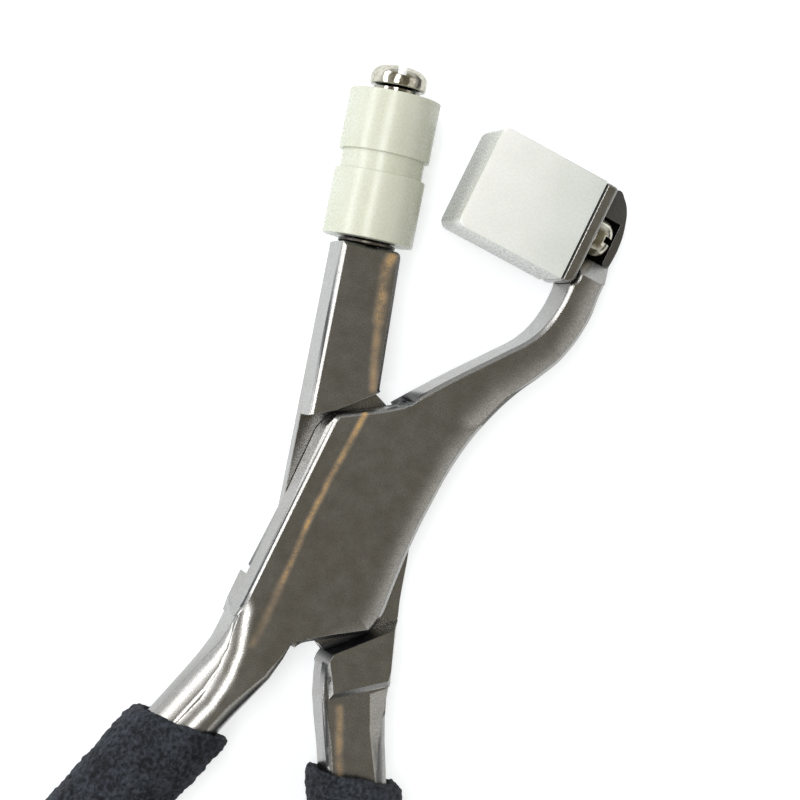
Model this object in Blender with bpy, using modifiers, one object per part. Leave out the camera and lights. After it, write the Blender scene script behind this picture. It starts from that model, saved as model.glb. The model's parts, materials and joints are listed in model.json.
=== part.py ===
"""Optical pliers with a free-turning nylon roller on the straight jaw and a nylon block on the arched jaw.

Metres, +Z up. The tool lies flat with its front face up and its jaws towards +Y.
The origin is on the pivot axis, at the flat back of the lap joint. The jaws stand open.
"""

import math

import bmesh
import bpy
from mathutils import Matrix, Vector

OBJECT_NAME = "optical_pliers"

# Lap joint
BODY_THICKNESS = 0.0072
TONGUE_THICKNESS = 0.00265
LAP_GAP = 0.0003
JOINT_HALF_WIDTH = 0.0100
JOINT_HALF_LENGTH = 0.0150
EDGE_CHAMFER = 0.00045

# Jaws: the straight one rises to the roller, the arched one reaches out and up to the block
JAW_RISE = 0.03105
JAW_OFFSET = 0.00785
JAW_LEAN = math.radians(7.8)
JAW_END_WIDTH = 0.0072
JAW_CORNER_RADIUS = 0.0007
ARM_REACH = 0.0205
ARM_RISE = 0.0365

# Left side of the cheek, which leans in to a wide edge, at its top, its foot and where it runs out
CHEEK_SIDE_LEANS = (0.0003, 0.0007, 0.0007)
CHEEK_SIDE_CHAMFERS = (0.0008, 0.00035, 0.0003)

# Pivot rivet
RIVET_DIAMETER = 0.0050
RIVET_HEAD_DIAMETER = 0.0080
RIVET_HEAD_DEPTH = 0.0012
RIVET_COVER = 0.0012
RIVET_CLEARANCE = 0.0002
HOLE_END_CLEARANCE = 0.0004

# Roller and what carries it
SEAT_GAP = 0.0002
ROLLER_DIAMETER = 0.0108
ROLLER_CLEARANCE = 0.0002
ROLLER_LOWER_LENGTH = 0.0078
ROLLER_GROOVE_LENGTH = 0.0023
ROLLER_UPPER_LENGTH = 0.0072
ROLLER_GROOVE_DEPTH = 0.0005
ROLLER_EDGE = 0.00015
BUSH_DIAMETER = 0.0056
BUSH_PROJECTION = 0.00075
WASHER_DIAMETER = 0.0068
WASHER_THICKNESS = 0.0004
ROLLER_SCREW_DIAMETER = 0.0030
ROLLER_SCREW_HEAD_DIAMETER = 0.0067
ROLLER_SCREW_HEAD_HEIGHT = 0.0026
ROLLER_SLOT_TURN = math.radians(-9)
ROLLER_SCREW_ENGAGEMENT = 0.0060
SCREW_CLEARANCE = 0.0002

# Block, backing plate and their screw, placed from the arched jaw's reach and rise
BLOCK_END_INSET = 0.0048
BLOCK_FOOT_DROP = 0.0005
BLOCK_LEAN = math.radians(-7.5)
BLOCK_LENGTH = 0.0143
BLOCK_WIDTH = 0.0130
BLOCK_DEPTH = 0.0084
BLOCK_CORNER_RADIUS = 0.0011
BLOCK_EDGE = 0.0003
PLATE_THICKNESS = 0.0016
PLATE_DEPTH = 0.0076
PLATE_LOWER_RADIUS = 0.0013
PLATE_UPPER_RADIUS = 0.0004
PLATE_EDGE = 0.00025
BLOCK_SCREW_OFFSET = 0.0005
BLOCK_SCREW_DIAMETER = 0.0026
BLOCK_SCREW_HEAD_DIAMETER = 0.0050
BLOCK_SCREW_HEAD_HEIGHT = 0.0026
BLOCK_SCREW_BITE = 0.0080
BLOCK_SLOT_TURN = math.radians(90)
HEAD_POCKET_CLEARANCE = 0.00035

# Ear behind the plate, milled down from the front to a sloping end wall
EAR_THICKNESS = 0.0040
EAR_STEP_OFFSET = 0.0047
EAR_RAMP_LENGTH = 0.0028
EAR_OVERHANG = 0.0010
EAR_TIP_DROP = 0.0011

# Drafted right side of the straight lever's root, which leans in from the lap to the front face,
# and the slope at its lower end, placed by shares of the joint's half width and half length
DRAFT_X = 0.0107
DRAFT_Y = -0.0093
DRAFT_TURN = math.radians(13.7)
DRAFT_LEAN = math.radians(17.0)
DRAFT_LENGTH = 0.0070
SLOPE_PLACE_SHARES = (0.790, -1.193)
SLOPE_TURN = math.radians(30.0)
SLOPE_LENGTH = 0.0009

# Slotted screw heads, as shares of each head's diameter and height
SLOT_WIDTH_SHARE = 0.20
SLOT_DEPTH_SHARE = 0.50
HEAD_RIM_SHARE = 0.40
HEAD_SHOULDER_SHARES = ((0.94, 0.70), (0.72, 0.92))

# Handles, with distances along each centre line from its root
HANDLE_LENGTH = 0.0830
BEND_START = 0.0035
BEND_LENGTH = 0.0050
RETURN_START = 0.0220
END_HEADING = math.radians(4.0)
ARM_ROOT_X = -0.00505
ARM_ROOT_SINK = 0.0022
ARM_ROOT_HEADING = math.radians(9.0)
ARM_FLARE = math.radians(24.5)
ARM_SHANK_WIDTH = 0.0074
ARM_SHANK_THICKNESS = 0.0066
STRAIGHT_ROOT_X = 0.00680
STRAIGHT_ROOT_SINK = 0.0018
STRAIGHT_ROOT_HEADING = math.radians(8.0)
STRAIGHT_FLARE = math.radians(22.5)
STRAIGHT_SHANK_WIDTH = 0.0075
STRAIGHT_SHANK_THICKNESS = 0.0058
SHANK_END_WIDTH = 0.0058
SHANK_END_THICKNESS = 0.0048

# How the shanks grow towards their roots, where their corners are nearly sharp
SHANK_SWELL_LENGTH = 0.0160
ARM_ROOT_SWELL = 0.0001
STRAIGHT_ROOT_SWELL = 0.0008
ARM_ROOT_THICKENING = 0.0005
STRAIGHT_ROOT_THICKENING = 0.0
CORNER_START = 0.0020
CORNER_GROWTH_LENGTH = 0.0100
CORNER_ROOT_SHARE = 0.15

# How much of a handle's section each corner takes, and how flat it is between an arc (0) and a facet (1),
# for the front right, front left, back left and back right
ARM_CORNER_SHARES = (0.60, 0.80, 0.65, 0.65)
ARM_FACET_SHARES = (0.0, 0.65, 0.0, 0.0)
STRAIGHT_CORNER_SHARES = (0.50, 0.22, 0.30, 0.40)
STRAIGHT_FACET_SHARES = (0.80, 0.50, 0.0, 0.0)
GRIP_CORNER_SHARES = (1.0, 1.0, 1.0, 1.0)
GRIP_FACET_SHARES = (0.0, 0.0, 0.0, 0.0)

# Grips, whose mouths are cut at a slant to the handles
ARM_GRIP_START = 0.0163
STRAIGHT_GRIP_START = 0.0156
ARM_MOUTH_SLANT = math.radians(22)
STRAIGHT_MOUTH_SLANT = math.radians(17)
MOUTH_SLANT_LENGTH = 0.0160
GRIP_WIDTH = 0.0115
GRIP_THICKNESS = 0.0104
GRIP_END_WIDTH = 0.0106
GRIP_END_THICKNESS = 0.0098
GRIP_END_WALL = 0.0030
GRIP_CLEARANCE = 0.0003
GRIP_HEM = 0.0012

# How finely round things are faceted, and how far a cutter runs past what it cuts
OUTLINE_STEPS = 4
SECTION_CORNER_STEPS = 6
TURNED_STEPS = 48
SMALL_TURNED_STEPS = 32
CORNER_STEPS = 4
ROUND_PROFILE = 0.5
SHANK_RINGS = 22
SHANK_RING_SPREAD = 1.5
GRIP_RINGS = 18
HEM_STEPS = 4
DOME_STEPS = 4
DOME_TURN = math.radians(80)
HEADING_STEPS = 166
CUT_OVERRUN = 0.0040

# Worked out from the sizes above
JOINT_FACE = TONGUE_THICKNESS + LAP_GAP
MID_HEIGHT = BODY_THICKNESS / 2
BLOCK_CENTRE_X = ARM_REACH - BLOCK_END_INSET - BLOCK_LENGTH / 2
BLOCK_CENTRE_Y = ARM_RISE - BLOCK_FOOT_DROP + BLOCK_WIDTH / 2
PLATE_INNER_FACE = BLOCK_LENGTH / 2 + SEAT_GAP
PLATE_OUTER_FACE = PLATE_INNER_FACE + PLATE_THICKNESS
EAR_REACH = ARM_REACH + EAR_OVERHANG
EAR_RISE = ARM_RISE + BLOCK_WIDTH - EAR_TIP_DROP
ROLLER_START = 2 * SEAT_GAP + WASHER_THICKNESS
ROLLER_LENGTH = ROLLER_LOWER_LENGTH + ROLLER_GROOVE_LENGTH + ROLLER_UPPER_LENGTH
BUSH_START = ROLLER_START - SEAT_GAP / 2
BUSH_END = ROLLER_START + ROLLER_LENGTH + BUSH_PROJECTION
GRIP_CORNERS = (GRIP_CORNER_SHARES, GRIP_FACET_SHARES)

# Outlines: (x share, y share, kind) with each point a corner or part of a smooth curve
CORNER, SMOOTH = "VECTOR", "AUTO"

# Cheek and root of the arched lever, as shares of the joint's half width and half length
CHEEK_SIDE_SHARES = (
    (1.030, 0.767, SMOOTH),
    (0.890, 0.333, SMOOTH),
    (0.810, -0.060, SMOOTH),
    (0.775, -0.400, SMOOTH),
    (0.750, -0.633, SMOOTH),
    (0.680, -0.773, CORNER),
    (0.110, -0.953, SMOOTH),
    (-0.060, -1.013, SMOOTH),
    (-0.120, -1.060, CORNER),
    (-0.935, -0.973, CORNER),
    (-0.932, -0.853, SMOOTH),
    (-0.645, 0.590, CORNER),
    (-0.530, 0.760, CORNER),
    (-0.010, 0.920, SMOOTH),
)

# Left edge of the cheek's front, down to where it runs out on the handle, as shares of the same sizes
CHEEK_FRONT_SHARES = ((-0.480, 0.930), (-0.831, -0.854), (-1.040, -1.250))

# Inner and outer sides of the arched jaw, as shares of its reach and rise
ARM_INNER_SHARES = (
    (0.083, 0.407, CORNER),
    (0.200, 0.477, SMOOTH),
    (0.356, 0.567, SMOOTH),
    (0.551, 0.674, SMOOTH),
    (0.683, 0.751, SMOOTH),
    (0.746, 0.814, SMOOTH),
    (0.783, 0.879, SMOOTH),
    (0.798, 0.932, SMOOTH),
    (0.801, 0.953, CORNER),
)
ARM_OUTER_SHARES = (
    (1.000, 0.992, SMOOTH),
    (0.980, 0.860, SMOOTH),
    (0.898, 0.720, SMOOTH),
    (0.815, 0.647, SMOOTH),
    (0.707, 0.564, SMOOTH),
    (0.585, 0.438, SMOOTH),
)

# Outer edge of the ear, as shares of its reach and rise
EAR_SHARES = (
    (0.912, 0.994, SMOOTH),
    (0.949, 0.979, SMOOTH),
    (0.981, 0.957, SMOOTH),
    (1.000, 0.926, SMOOTH),
    (1.010, 0.868, SMOOTH),
    (0.985, 0.798, SMOOTH),
)

# Tongue and root block of the straight lever, as shares of the joint's half width and half length
TONGUE_SHARES = (
    (-0.150, 1.040, CORNER),
    (0.084, 0.963, SMOOTH),
    (0.300, 0.880, SMOOTH),
    (0.620, 0.760, CORNER),
    (0.930, -0.067, SMOOTH),
    (1.024, -0.465, SMOOTH),
    (1.073, -0.621, SMOOTH),
    (1.120, -1.087, CORNER),
    (1.075, -1.140, CORNER),
    (0.480, -1.365, CORNER),
    (0.390, -1.227, SMOOTH),
    (0.300, -1.107, SMOOTH),
    (0.210, -0.993, CORNER),
    (0.150, -0.930, CORNER),
    (-0.600, -0.713, CORNER),
    (-0.820, -0.573, CORNER),
    (-0.705, -0.067, CORNER),
)

# What is milled away, as shares of the joint's half width and half length
BACK_RECESS_SHARES = (
    (-1.30, -0.474),
    (0.40, -1.118),
    (1.60, -1.118),
    (1.60, 0.498),
    (-0.20, 1.135),
    (-1.30, 1.135),
)
FRONT_RECESS_SHARES = (
    (-1.50, 0.427),
    (-0.94, 0.640),
    (-0.56, 0.787),
    (-0.15, 1.017),
    (-0.02, 1.133),
    (1.50, 1.133),
    (1.50, -0.397),
    (0.97, -0.683),
    (0.66, -0.850),
    (0.33, -1.027),
    (0.20, -1.093),
    (-0.30, -1.400),
    (-1.50, -1.400),
)
SHOULDER_RELIEF_SHARES = (
    (0.100, -0.975),
    (0.243, -0.987),
    (0.350, -1.030),
    (0.300, -1.140),
    (0.100, -1.165),
)
CROTCH_NOTCH_SHARES = (
    (0.340, 1.137),
    (0.335, 1.093),
    (0.310, 1.040),
    (0.260, 1.003),
    (0.120, 0.961),
    (0.020, 1.033),
    (0.220, 1.220),
)


def clear_scene():
    for obj in list(bpy.data.objects):
        bpy.data.objects.remove(obj, do_unlink=True)


def new_collection(name):
    collection = bpy.data.collections.new(name)
    bpy.context.scene.collection.children.link(collection)
    return collection


def material(name, colour, roughness, metallic):
    made = bpy.data.materials.new(name)
    made.use_nodes = True
    shader = made.node_tree.nodes["Principled BSDF"]
    shader.inputs["Base Color"].default_value = (*colour, 1.0)
    shader.inputs["Roughness"].default_value = roughness
    shader.inputs["Metallic"].default_value = metallic
    return made


def steel(name):
    return material(name, (0.42, 0.41, 0.38), 0.34, 1.0)


def bright_steel(name):
    return material(name, (0.68, 0.66, 0.58), 0.22, 1.0)


def nylon(name):
    return material(name, (0.86, 0.88, 0.78), 0.45, 0.0)


def foam(name):
    return material(name, (0.022, 0.026, 0.036), 0.85, 0.0)


def placed(shares, width, length):
    """Outline shares turned into points, with each point's kind where it has one."""
    return [(share[0] * width, share[1] * length, *share[2:]) for share in shares]


def add_object(name, mesh, collection, matrix=None):
    obj = bpy.data.objects.new(name, mesh)
    collection.objects.link(obj)
    if matrix is not None:
        obj.matrix_world = matrix
    return obj


def smooth_shading(mesh, angle):
    mesh.shade_smooth()
    mesh.set_sharp_from_angle(angle=angle)


def finish_mesh(mesh):
    """Welds the mesh, turns its faces out and shades its round sides smooth."""
    work = bmesh.new()
    work.from_mesh(mesh)
    bmesh.ops.remove_doubles(work, verts=work.verts, dist=EDGE_CHAMFER / 100)
    bmesh.ops.recalc_face_normals(work, faces=work.faces)
    work.to_mesh(mesh)
    work.free()
    smooth_shading(mesh, math.radians(25))


def plate(name, points, bottom, top, edge, collection, matrix=None):
    """A flat piece from an outline, between two heights, with its edges chamfered."""
    curve = bpy.data.curves.new(name, "CURVE")
    curve.dimensions = "2D"
    curve.fill_mode = "BOTH"
    curve.resolution_u = OUTLINE_STEPS
    curve.extrude = (top - bottom) / 2 - edge
    curve.bevel_depth = edge
    curve.bevel_resolution = 0
    curve.offset = -edge
    spline = curve.splines.new("BEZIER")
    spline.bezier_points.add(len(points) - 1)
    for knot, (x, y, kind) in zip(spline.bezier_points, points):
        knot.co = (x, y, 0)
        knot.handle_left_type = kind
        knot.handle_right_type = kind
    spline.use_cyclic_u = True
    drawn = bpy.data.objects.new(name, curve)
    collection.objects.link(drawn)
    graph = bpy.context.evaluated_depsgraph_get()
    mesh = bpy.data.meshes.new_from_object(drawn.evaluated_get(graph))
    bpy.data.objects.remove(drawn)
    mesh.transform(Matrix.Translation((0, 0, (bottom + top) / 2)))
    finish_mesh(mesh)
    mesh.name = name
    return add_object(name, mesh, collection, matrix)


def prism(name, points, bottom, top, collection, matrix=None):
    """A straight-sided solid on a polygon, for cutters."""
    mesh = bpy.data.meshes.new(name)
    work = bmesh.new()
    base = work.faces.new([work.verts.new((x, y, bottom)) for x, y in points])
    raised = bmesh.ops.extrude_face_region(work, geom=[base])
    lifted = [item for item in raised["geom"] if isinstance(item, bmesh.types.BMVert)]
    bmesh.ops.translate(work, verts=lifted, vec=(0, 0, top - bottom))
    bmesh.ops.recalc_face_normals(work, faces=work.faces)
    work.to_mesh(mesh)
    work.free()
    return add_object(name, mesh, collection, matrix)


def cylinder(name, diameter, start, end, collection, matrix=None):
    """A cylinder along local Z, for cutters."""
    mesh = bpy.data.meshes.new(name)
    work = bmesh.new()
    bmesh.ops.create_cone(
        work,
        cap_ends=True,
        segments=SMALL_TURNED_STEPS,
        radius1=diameter / 2,
        radius2=diameter / 2,
        depth=end - start,
        matrix=Matrix.Translation((0, 0, (start + end) / 2)),
    )
    work.to_mesh(mesh)
    work.free()
    return add_object(name, mesh, collection, matrix)


def turned(name, profile, collection, matrix=None, closed=False, steps=SMALL_TURNED_STEPS):
    """A profile of (radius, height) pairs turned about local Z. It runs down the outer side."""
    mesh = bpy.data.meshes.new(name)
    count = len(profile)
    edges = [(i, (i + 1) % count) for i in range(count if closed else count - 1)]
    mesh.from_pydata([(radius, 0, height) for radius, height in profile], edges, [])
    obj = add_object(name, mesh, collection, matrix)
    turn = obj.modifiers.new("Turn", "SCREW")
    turn.steps = steps
    turn.render_steps = steps
    turn.use_merge_vertices = True
    turn.merge_threshold = EDGE_CHAMFER / 100
    turn.use_smooth_shade = False
    return obj


def loft(name, rings, collection):
    """A skin through rings of equal count, closed at its first and last ring."""
    mesh = bpy.data.meshes.new(name)
    work = bmesh.new()
    rows = [[work.verts.new(point) for point in row] for row in rings]
    count = len(rings[0])
    for lower, upper in zip(rows, rows[1:]):
        for step in range(count):
            after = (step + 1) % count
            work.faces.new((lower[step], lower[after], upper[after], upper[step]))
    work.faces.new(reversed(rows[0]))
    work.faces.new(rows[-1])
    bmesh.ops.recalc_face_normals(work, faces=work.faces)
    work.to_mesh(mesh)
    work.free()
    smooth_shading(mesh, math.radians(40))
    return add_object(name, mesh, collection)


def in_triangles(mesh):
    work = bmesh.new()
    work.from_mesh(mesh)
    bmesh.ops.triangulate(work, faces=work.faces)
    work.to_mesh(mesh)
    work.free()


def cut(obj, cutter, operation="DIFFERENCE"):
    """Cuts or joins one mesh with another, which stays as a wire helper."""
    change = obj.modifiers.new(cutter.name, "BOOLEAN")
    change.operation = operation
    change.solver = "EXACT"
    change.object = cutter
    cutter.hide_render = True
    cutter.display_type = "WIRE"


def block_frame():
    """Local X runs from the roller's side out through the plate, Y towards the tip."""
    centre = Matrix.Translation((BLOCK_CENTRE_X, BLOCK_CENTRE_Y, MID_HEIGHT))
    return centre @ Matrix.Rotation(BLOCK_LEAN, 4, "Z")


def block_screw_frame():
    """Local Z runs along the block's screw, from the block's centre out through its head."""
    offset = Matrix.Translation((0, BLOCK_SCREW_OFFSET, 0))
    return block_frame() @ offset @ Matrix.Rotation(math.radians(90), 4, "Y")


def roller_frame():
    """Local Z runs along the roller's axis, from the middle of the straight jaw's end."""
    seat = Matrix.Translation((-JAW_OFFSET, JAW_RISE, MID_HEIGHT))
    lean = Matrix.Rotation(JAW_LEAN, 4, "Z")
    return seat @ lean @ Matrix.Rotation(math.radians(-90), 4, "X")


def in_block_frame(along, across, kind):
    point = block_frame() @ Vector((along, across, 0))
    return (point.x, point.y, kind)


def plate_seat_points():
    """The arched lever's edge along the backing plate, hollowed round the plate's lower corner."""
    reach = PLATE_LOWER_RADIUS + SEAT_GAP
    centre_along = PLATE_OUTER_FACE - PLATE_LOWER_RADIUS
    centre_across = PLATE_LOWER_RADIUS - BLOCK_WIDTH / 2
    points = []
    for step in range(CORNER_STEPS + 1):
        turn = math.pi / 4 * (1 + step / CORNER_STEPS)
        along = centre_along + reach * math.sin(turn)
        across = centre_across - reach * math.cos(turn)
        points.append(in_block_frame(along, across, CORNER))
    points.append(in_block_frame(PLATE_OUTER_FACE + SEAT_GAP, BLOCK_WIDTH / 2 - SEAT_GAP, CORNER))
    return points


def eased(share):
    """Goes smoothly from 0 to 1 as a distance share does, and stays level outside that."""
    held = min(max(share, 0), 1)
    return held * held * (3 - 2 * held)


class Handle:
    """One handle's centre line and sections. Its side is -1 to the left and 1 to the right."""

    def __init__(self, side, root, headings, section, growth, mouth):
        self.side = side
        self.root_heading, self.flare = headings
        self.width, self.thickness, *self.corners = section
        self.root_swell, self.root_thickening = growth
        self.grip_start, self.mouth_slant = mouth
        self.stride = HANDLE_LENGTH / HEADING_STEPS
        self.centres = [Vector((*root, MID_HEIGHT))]
        for step in range(HEADING_STEPS):
            onward = self.direction((step + 1 / 2) * self.stride)
            self.centres.append(self.centres[-1] + onward * self.stride)

    def heading(self, distance):
        bend = eased((distance - BEND_START) / BEND_LENGTH)
        back = eased((distance - RETURN_START) / (HANDLE_LENGTH - RETURN_START))
        bent = self.root_heading + (self.flare - self.root_heading) * bend
        return bent + (END_HEADING - self.flare) * back

    def direction(self, distance):
        heading = self.heading(distance)
        return Vector((self.side * math.sin(heading), -math.cos(heading), 0))

    def centre(self, distance):
        step = min(int(distance / self.stride), HEADING_STEPS)
        return self.centres[step] + self.direction(distance) * (distance - step * self.stride)

    def ring(self, distance, size, corners):
        """A section square to the centre line, with its corners' sizes and flatness as given."""
        heading = self.heading(distance)
        across = Vector((math.cos(heading), self.side * math.sin(heading), 0))
        up = Vector((0, 0, 1))
        points = []
        for corner, (right, front) in enumerate(((1, 1), (-1, 1), (-1, -1), (1, -1))):
            share, flatness = [shares[corner] for shares in corners]
            for step in range(SECTION_CORNER_STEPS):
                turn = math.pi / 2 * (corner + (step + 1 / 2) / SECTION_CORNER_STEPS)
                arc_to_facet = 1 + flatness * (1 / (abs(math.cos(turn)) + abs(math.sin(turn))) - 1)
                wide = right * (1 - share) + share * math.cos(turn) * arc_to_facet
                tall = front * (1 - share) + share * math.sin(turn) * arc_to_facet
                offset = across * (wide * size[0] / 2) + up * (tall * size[1] / 2)
                points.append(self.centre(distance) + offset)
        return points

    def slanted_ring(self, distance, size, corners):
        """A ring of the grip, turned towards the level mouth the nearer it lies to it."""
        onward = self.direction(distance)
        across = Vector((-self.side * onward.y, self.side * onward.x, 0))
        fade = 1 - eased((distance - self.grip_start) / MOUTH_SLANT_LENGTH)
        slope = math.tan(self.mouth_slant) * fade
        points = []
        for point in self.ring(distance, size, corners):
            offset = (point - self.centre(distance)).dot(across)
            points.append(point + onward * (offset * slope))
        return points

    def bare_size(self, distance):
        """Width and thickness of the steel: swollen at its root, even to the grip, then tapering."""
        nearness = eased(1 - distance / SHANK_SWELL_LENGTH)
        taper = max((distance - self.grip_start) / (HANDLE_LENGTH - self.grip_start), 0)
        width = self.width + self.root_swell * nearness + (SHANK_END_WIDTH - self.width) * taper
        thickening = self.root_thickening * nearness
        thickness = self.thickness + thickening + (SHANK_END_THICKNESS - self.thickness) * taper
        return width, thickness

    def bare_corners(self, distance):
        """The steel's corners: nearly sharp at the root, and growing along the bend to full size."""
        growth = eased((distance - CORNER_START) / CORNER_GROWTH_LENGTH)
        part = CORNER_ROOT_SHARE + (1 - CORNER_ROOT_SHARE) * growth
        shares, flatness = self.corners
        return [share * part for share in shares], flatness

    def bore_size(self, distance):
        return [length + 2 * GRIP_CLEARANCE for length in self.bare_size(distance)]

    def grip_size(self, distance):
        share = max((distance - self.grip_start) / (HANDLE_LENGTH - self.grip_start), 0)
        width = GRIP_WIDTH + (GRIP_END_WIDTH - GRIP_WIDTH) * share
        thickness = GRIP_THICKNESS + (GRIP_END_THICKNESS - GRIP_THICKNESS) * share
        return width, thickness


def arm_handle():
    return Handle(
        -1,
        (ARM_ROOT_X, ARM_ROOT_SINK - JOINT_HALF_LENGTH),
        (ARM_ROOT_HEADING, ARM_FLARE),
        (ARM_SHANK_WIDTH, ARM_SHANK_THICKNESS, ARM_CORNER_SHARES, ARM_FACET_SHARES),
        (ARM_ROOT_SWELL, ARM_ROOT_THICKENING),
        (ARM_GRIP_START, ARM_MOUTH_SLANT),
    )


def straight_handle():
    corners = (STRAIGHT_CORNER_SHARES, STRAIGHT_FACET_SHARES)
    return Handle(
        1,
        (STRAIGHT_ROOT_X, STRAIGHT_ROOT_SINK - JOINT_HALF_LENGTH),
        (STRAIGHT_ROOT_HEADING, STRAIGHT_FLARE),
        (STRAIGHT_SHANK_WIDTH, STRAIGHT_SHANK_THICKNESS, *corners),
        (STRAIGHT_ROOT_SWELL, STRAIGHT_ROOT_THICKENING),
        (STRAIGHT_GRIP_START, STRAIGHT_MOUTH_SLANT),
    )


def shank(name, handle, collection):
    """The bare steel of a handle, from inside the joint to inside the grip."""
    rings = []
    for index in range(SHANK_RINGS + 1):
        distance = HANDLE_LENGTH * (index / SHANK_RINGS) ** SHANK_RING_SPREAD
        rings.append(handle.ring(distance, handle.bare_size(distance), handle.bare_corners(distance)))
    return loft(name, rings, collection)


def grip(name, handle, collection):
    """A foam sleeve with a blind bore, a rounded hem and a domed end."""
    rings = []
    hem_end = handle.grip_start + GRIP_HEM
    bore_end = HANDLE_LENGTH + GRIP_CLEARANCE
    for index in range(GRIP_RINGS + 1):
        distance = bore_end + (hem_end - bore_end) * index / GRIP_RINGS
        rings.append(handle.slanted_ring(distance, handle.bore_size(distance), handle.corners))
    for step in range(1, HEM_STEPS):
        turn = math.pi * step / HEM_STEPS
        distance = hem_end - GRIP_HEM * math.sin(turn)
        share = (1 - math.cos(turn)) / 2
        sizes = zip(handle.bore_size(distance), handle.grip_size(distance))
        size = [inner + (outer - inner) * share for inner, outer in sizes]
        corners = [
            [inner + (outer - inner) * share for inner, outer in zip(inside, outside)]
            for inside, outside in zip(handle.corners, GRIP_CORNERS)
        ]
        rings.append(handle.slanted_ring(distance, size, corners))
    dome_start = HANDLE_LENGTH + GRIP_END_WALL - GRIP_END_WIDTH / 2
    for index in range(GRIP_RINGS + 1):
        distance = hem_end + (dome_start - hem_end) * index / GRIP_RINGS
        rings.append(handle.slanted_ring(distance, handle.grip_size(distance), GRIP_CORNERS))
    for step in range(1, DOME_STEPS + 1):
        turn = DOME_TURN * step / DOME_STEPS
        distance = dome_start + GRIP_END_WIDTH / 2 * math.sin(turn)
        size = [length * math.cos(turn) for length in handle.grip_size(dome_start)]
        rings.append(handle.slanted_ring(distance, size, GRIP_CORNERS))
    return loft(name, rings, collection)


def screw_head_profile(diameter, height):
    """The upper side of a pan head, from its middle to its rim's foot."""
    points = [(0, height)]
    for across_share, up_share in reversed(HEAD_SHOULDER_SHARES):
        points.append((diameter / 2 * across_share, height * up_share))
    points.append((diameter / 2, height * HEAD_RIM_SHARE))
    points.append((diameter / 2, 0))
    return points


def screw(name, head, shank_diameter, length, slot_turn, collection, cutters, matrix):
    """A slotted pan-head screw. Local Z = 0 is the underside of its head, a diameter and a height."""
    head_diameter, head_height = head
    profile = screw_head_profile(head_diameter, head_height)
    profile += [(shank_diameter / 2, 0), (shank_diameter / 2, -length), (0, -length)]
    made = turned(name, profile, collection, matrix)
    half = head_diameter * SLOT_WIDTH_SHARE / 2
    reach = head_diameter
    floor = head_height * (1 - SLOT_DEPTH_SHARE)
    corners = [(-half, -reach), (half, -reach), (half, reach), (-half, reach)]
    slot_frame = matrix @ Matrix.Rotation(slot_turn, 4, "Z")
    cut(made, prism(name + "_slot", corners, floor, head_height + CUT_OVERRUN, cutters, slot_frame))
    return made


def rounded_rectangle(width, height, radii):
    """Points of a rectangle about zero, with one radius a corner from the lower left, anticlockwise."""
    corners = ((-1, -1, 180), (1, -1, 270), (1, 1, 0), (-1, 1, 90))
    points = []
    for (x_side, y_side, start), radius in zip(corners, radii):
        centre_x = x_side * (width / 2 - radius)
        centre_y = y_side * (height / 2 - radius)
        for step in range(CORNER_STEPS + 1):
            turn = math.radians(start + 90 * step / CORNER_STEPS)
            points.append((centre_x + radius * math.cos(turn), centre_y + radius * math.sin(turn), CORNER))
    return points


def jaw_end_points():
    """The straight jaw's end, square to the roller's axis, with a rounded corner on the open side."""
    frame = Matrix.Translation((-JAW_OFFSET, JAW_RISE, 0)) @ Matrix.Rotation(JAW_LEAN, 4, "Z")
    half = JAW_END_WIDTH / 2
    local = [(-half, 0, CORNER)]
    for step in range(CORNER_STEPS + 1):
        turn = math.radians(90 - 90 * step / CORNER_STEPS)
        across = half - JAW_CORNER_RADIUS * (1 - math.cos(turn))
        up = -JAW_CORNER_RADIUS * (1 - math.sin(turn))
        local.append((across, up, CORNER))
    points = []
    for across, up, kind in local:
        point = frame @ Vector((across, up, 0))
        points.append((point.x, point.y, kind))
    return points


def make_arm_lever(collection, cutters):
    """The arched jaw, the front cheek of the joint and the left handle, as one forging."""
    points = placed(ARM_INNER_SHARES, ARM_REACH, ARM_RISE)
    points += plate_seat_points()
    points += placed(EAR_SHARES, EAR_REACH, EAR_RISE)
    points += placed(ARM_OUTER_SHARES, ARM_REACH, ARM_RISE)
    points += placed(CHEEK_SIDE_SHARES, JOINT_HALF_WIDTH, JOINT_HALF_LENGTH)
    lever = plate("arm_lever", points, 0, BODY_THICKNESS, EDGE_CHAMFER, collection)
    cut(lever, shank("arm_shank", arm_handle(), cutters), "UNION")
    cut(lever, cheek_side_cutter(cutters))
    recess = placed(BACK_RECESS_SHARES, JOINT_HALF_WIDTH, JOINT_HALF_LENGTH)
    cut(lever, prism("back_recess", recess, -CUT_OVERRUN, JOINT_FACE, cutters))
    notch = placed(CROTCH_NOTCH_SHARES, JOINT_HALF_WIDTH, JOINT_HALF_LENGTH)
    cut(lever, prism("crotch_notch", notch, JOINT_FACE, BODY_THICKNESS + CUT_OVERRUN, cutters))
    hole_top = BODY_THICKNESS - RIVET_COVER + HOLE_END_CLEARANCE
    hole_diameter = RIVET_DIAMETER + 2 * RIVET_CLEARANCE
    cut(lever, cylinder("rivet_blind_hole", hole_diameter, -CUT_OVERRUN, hole_top, cutters))
    cut(lever, ear_cutter(cutters))
    cut(lever, head_pocket_cutter(cutters))
    return lever


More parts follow.
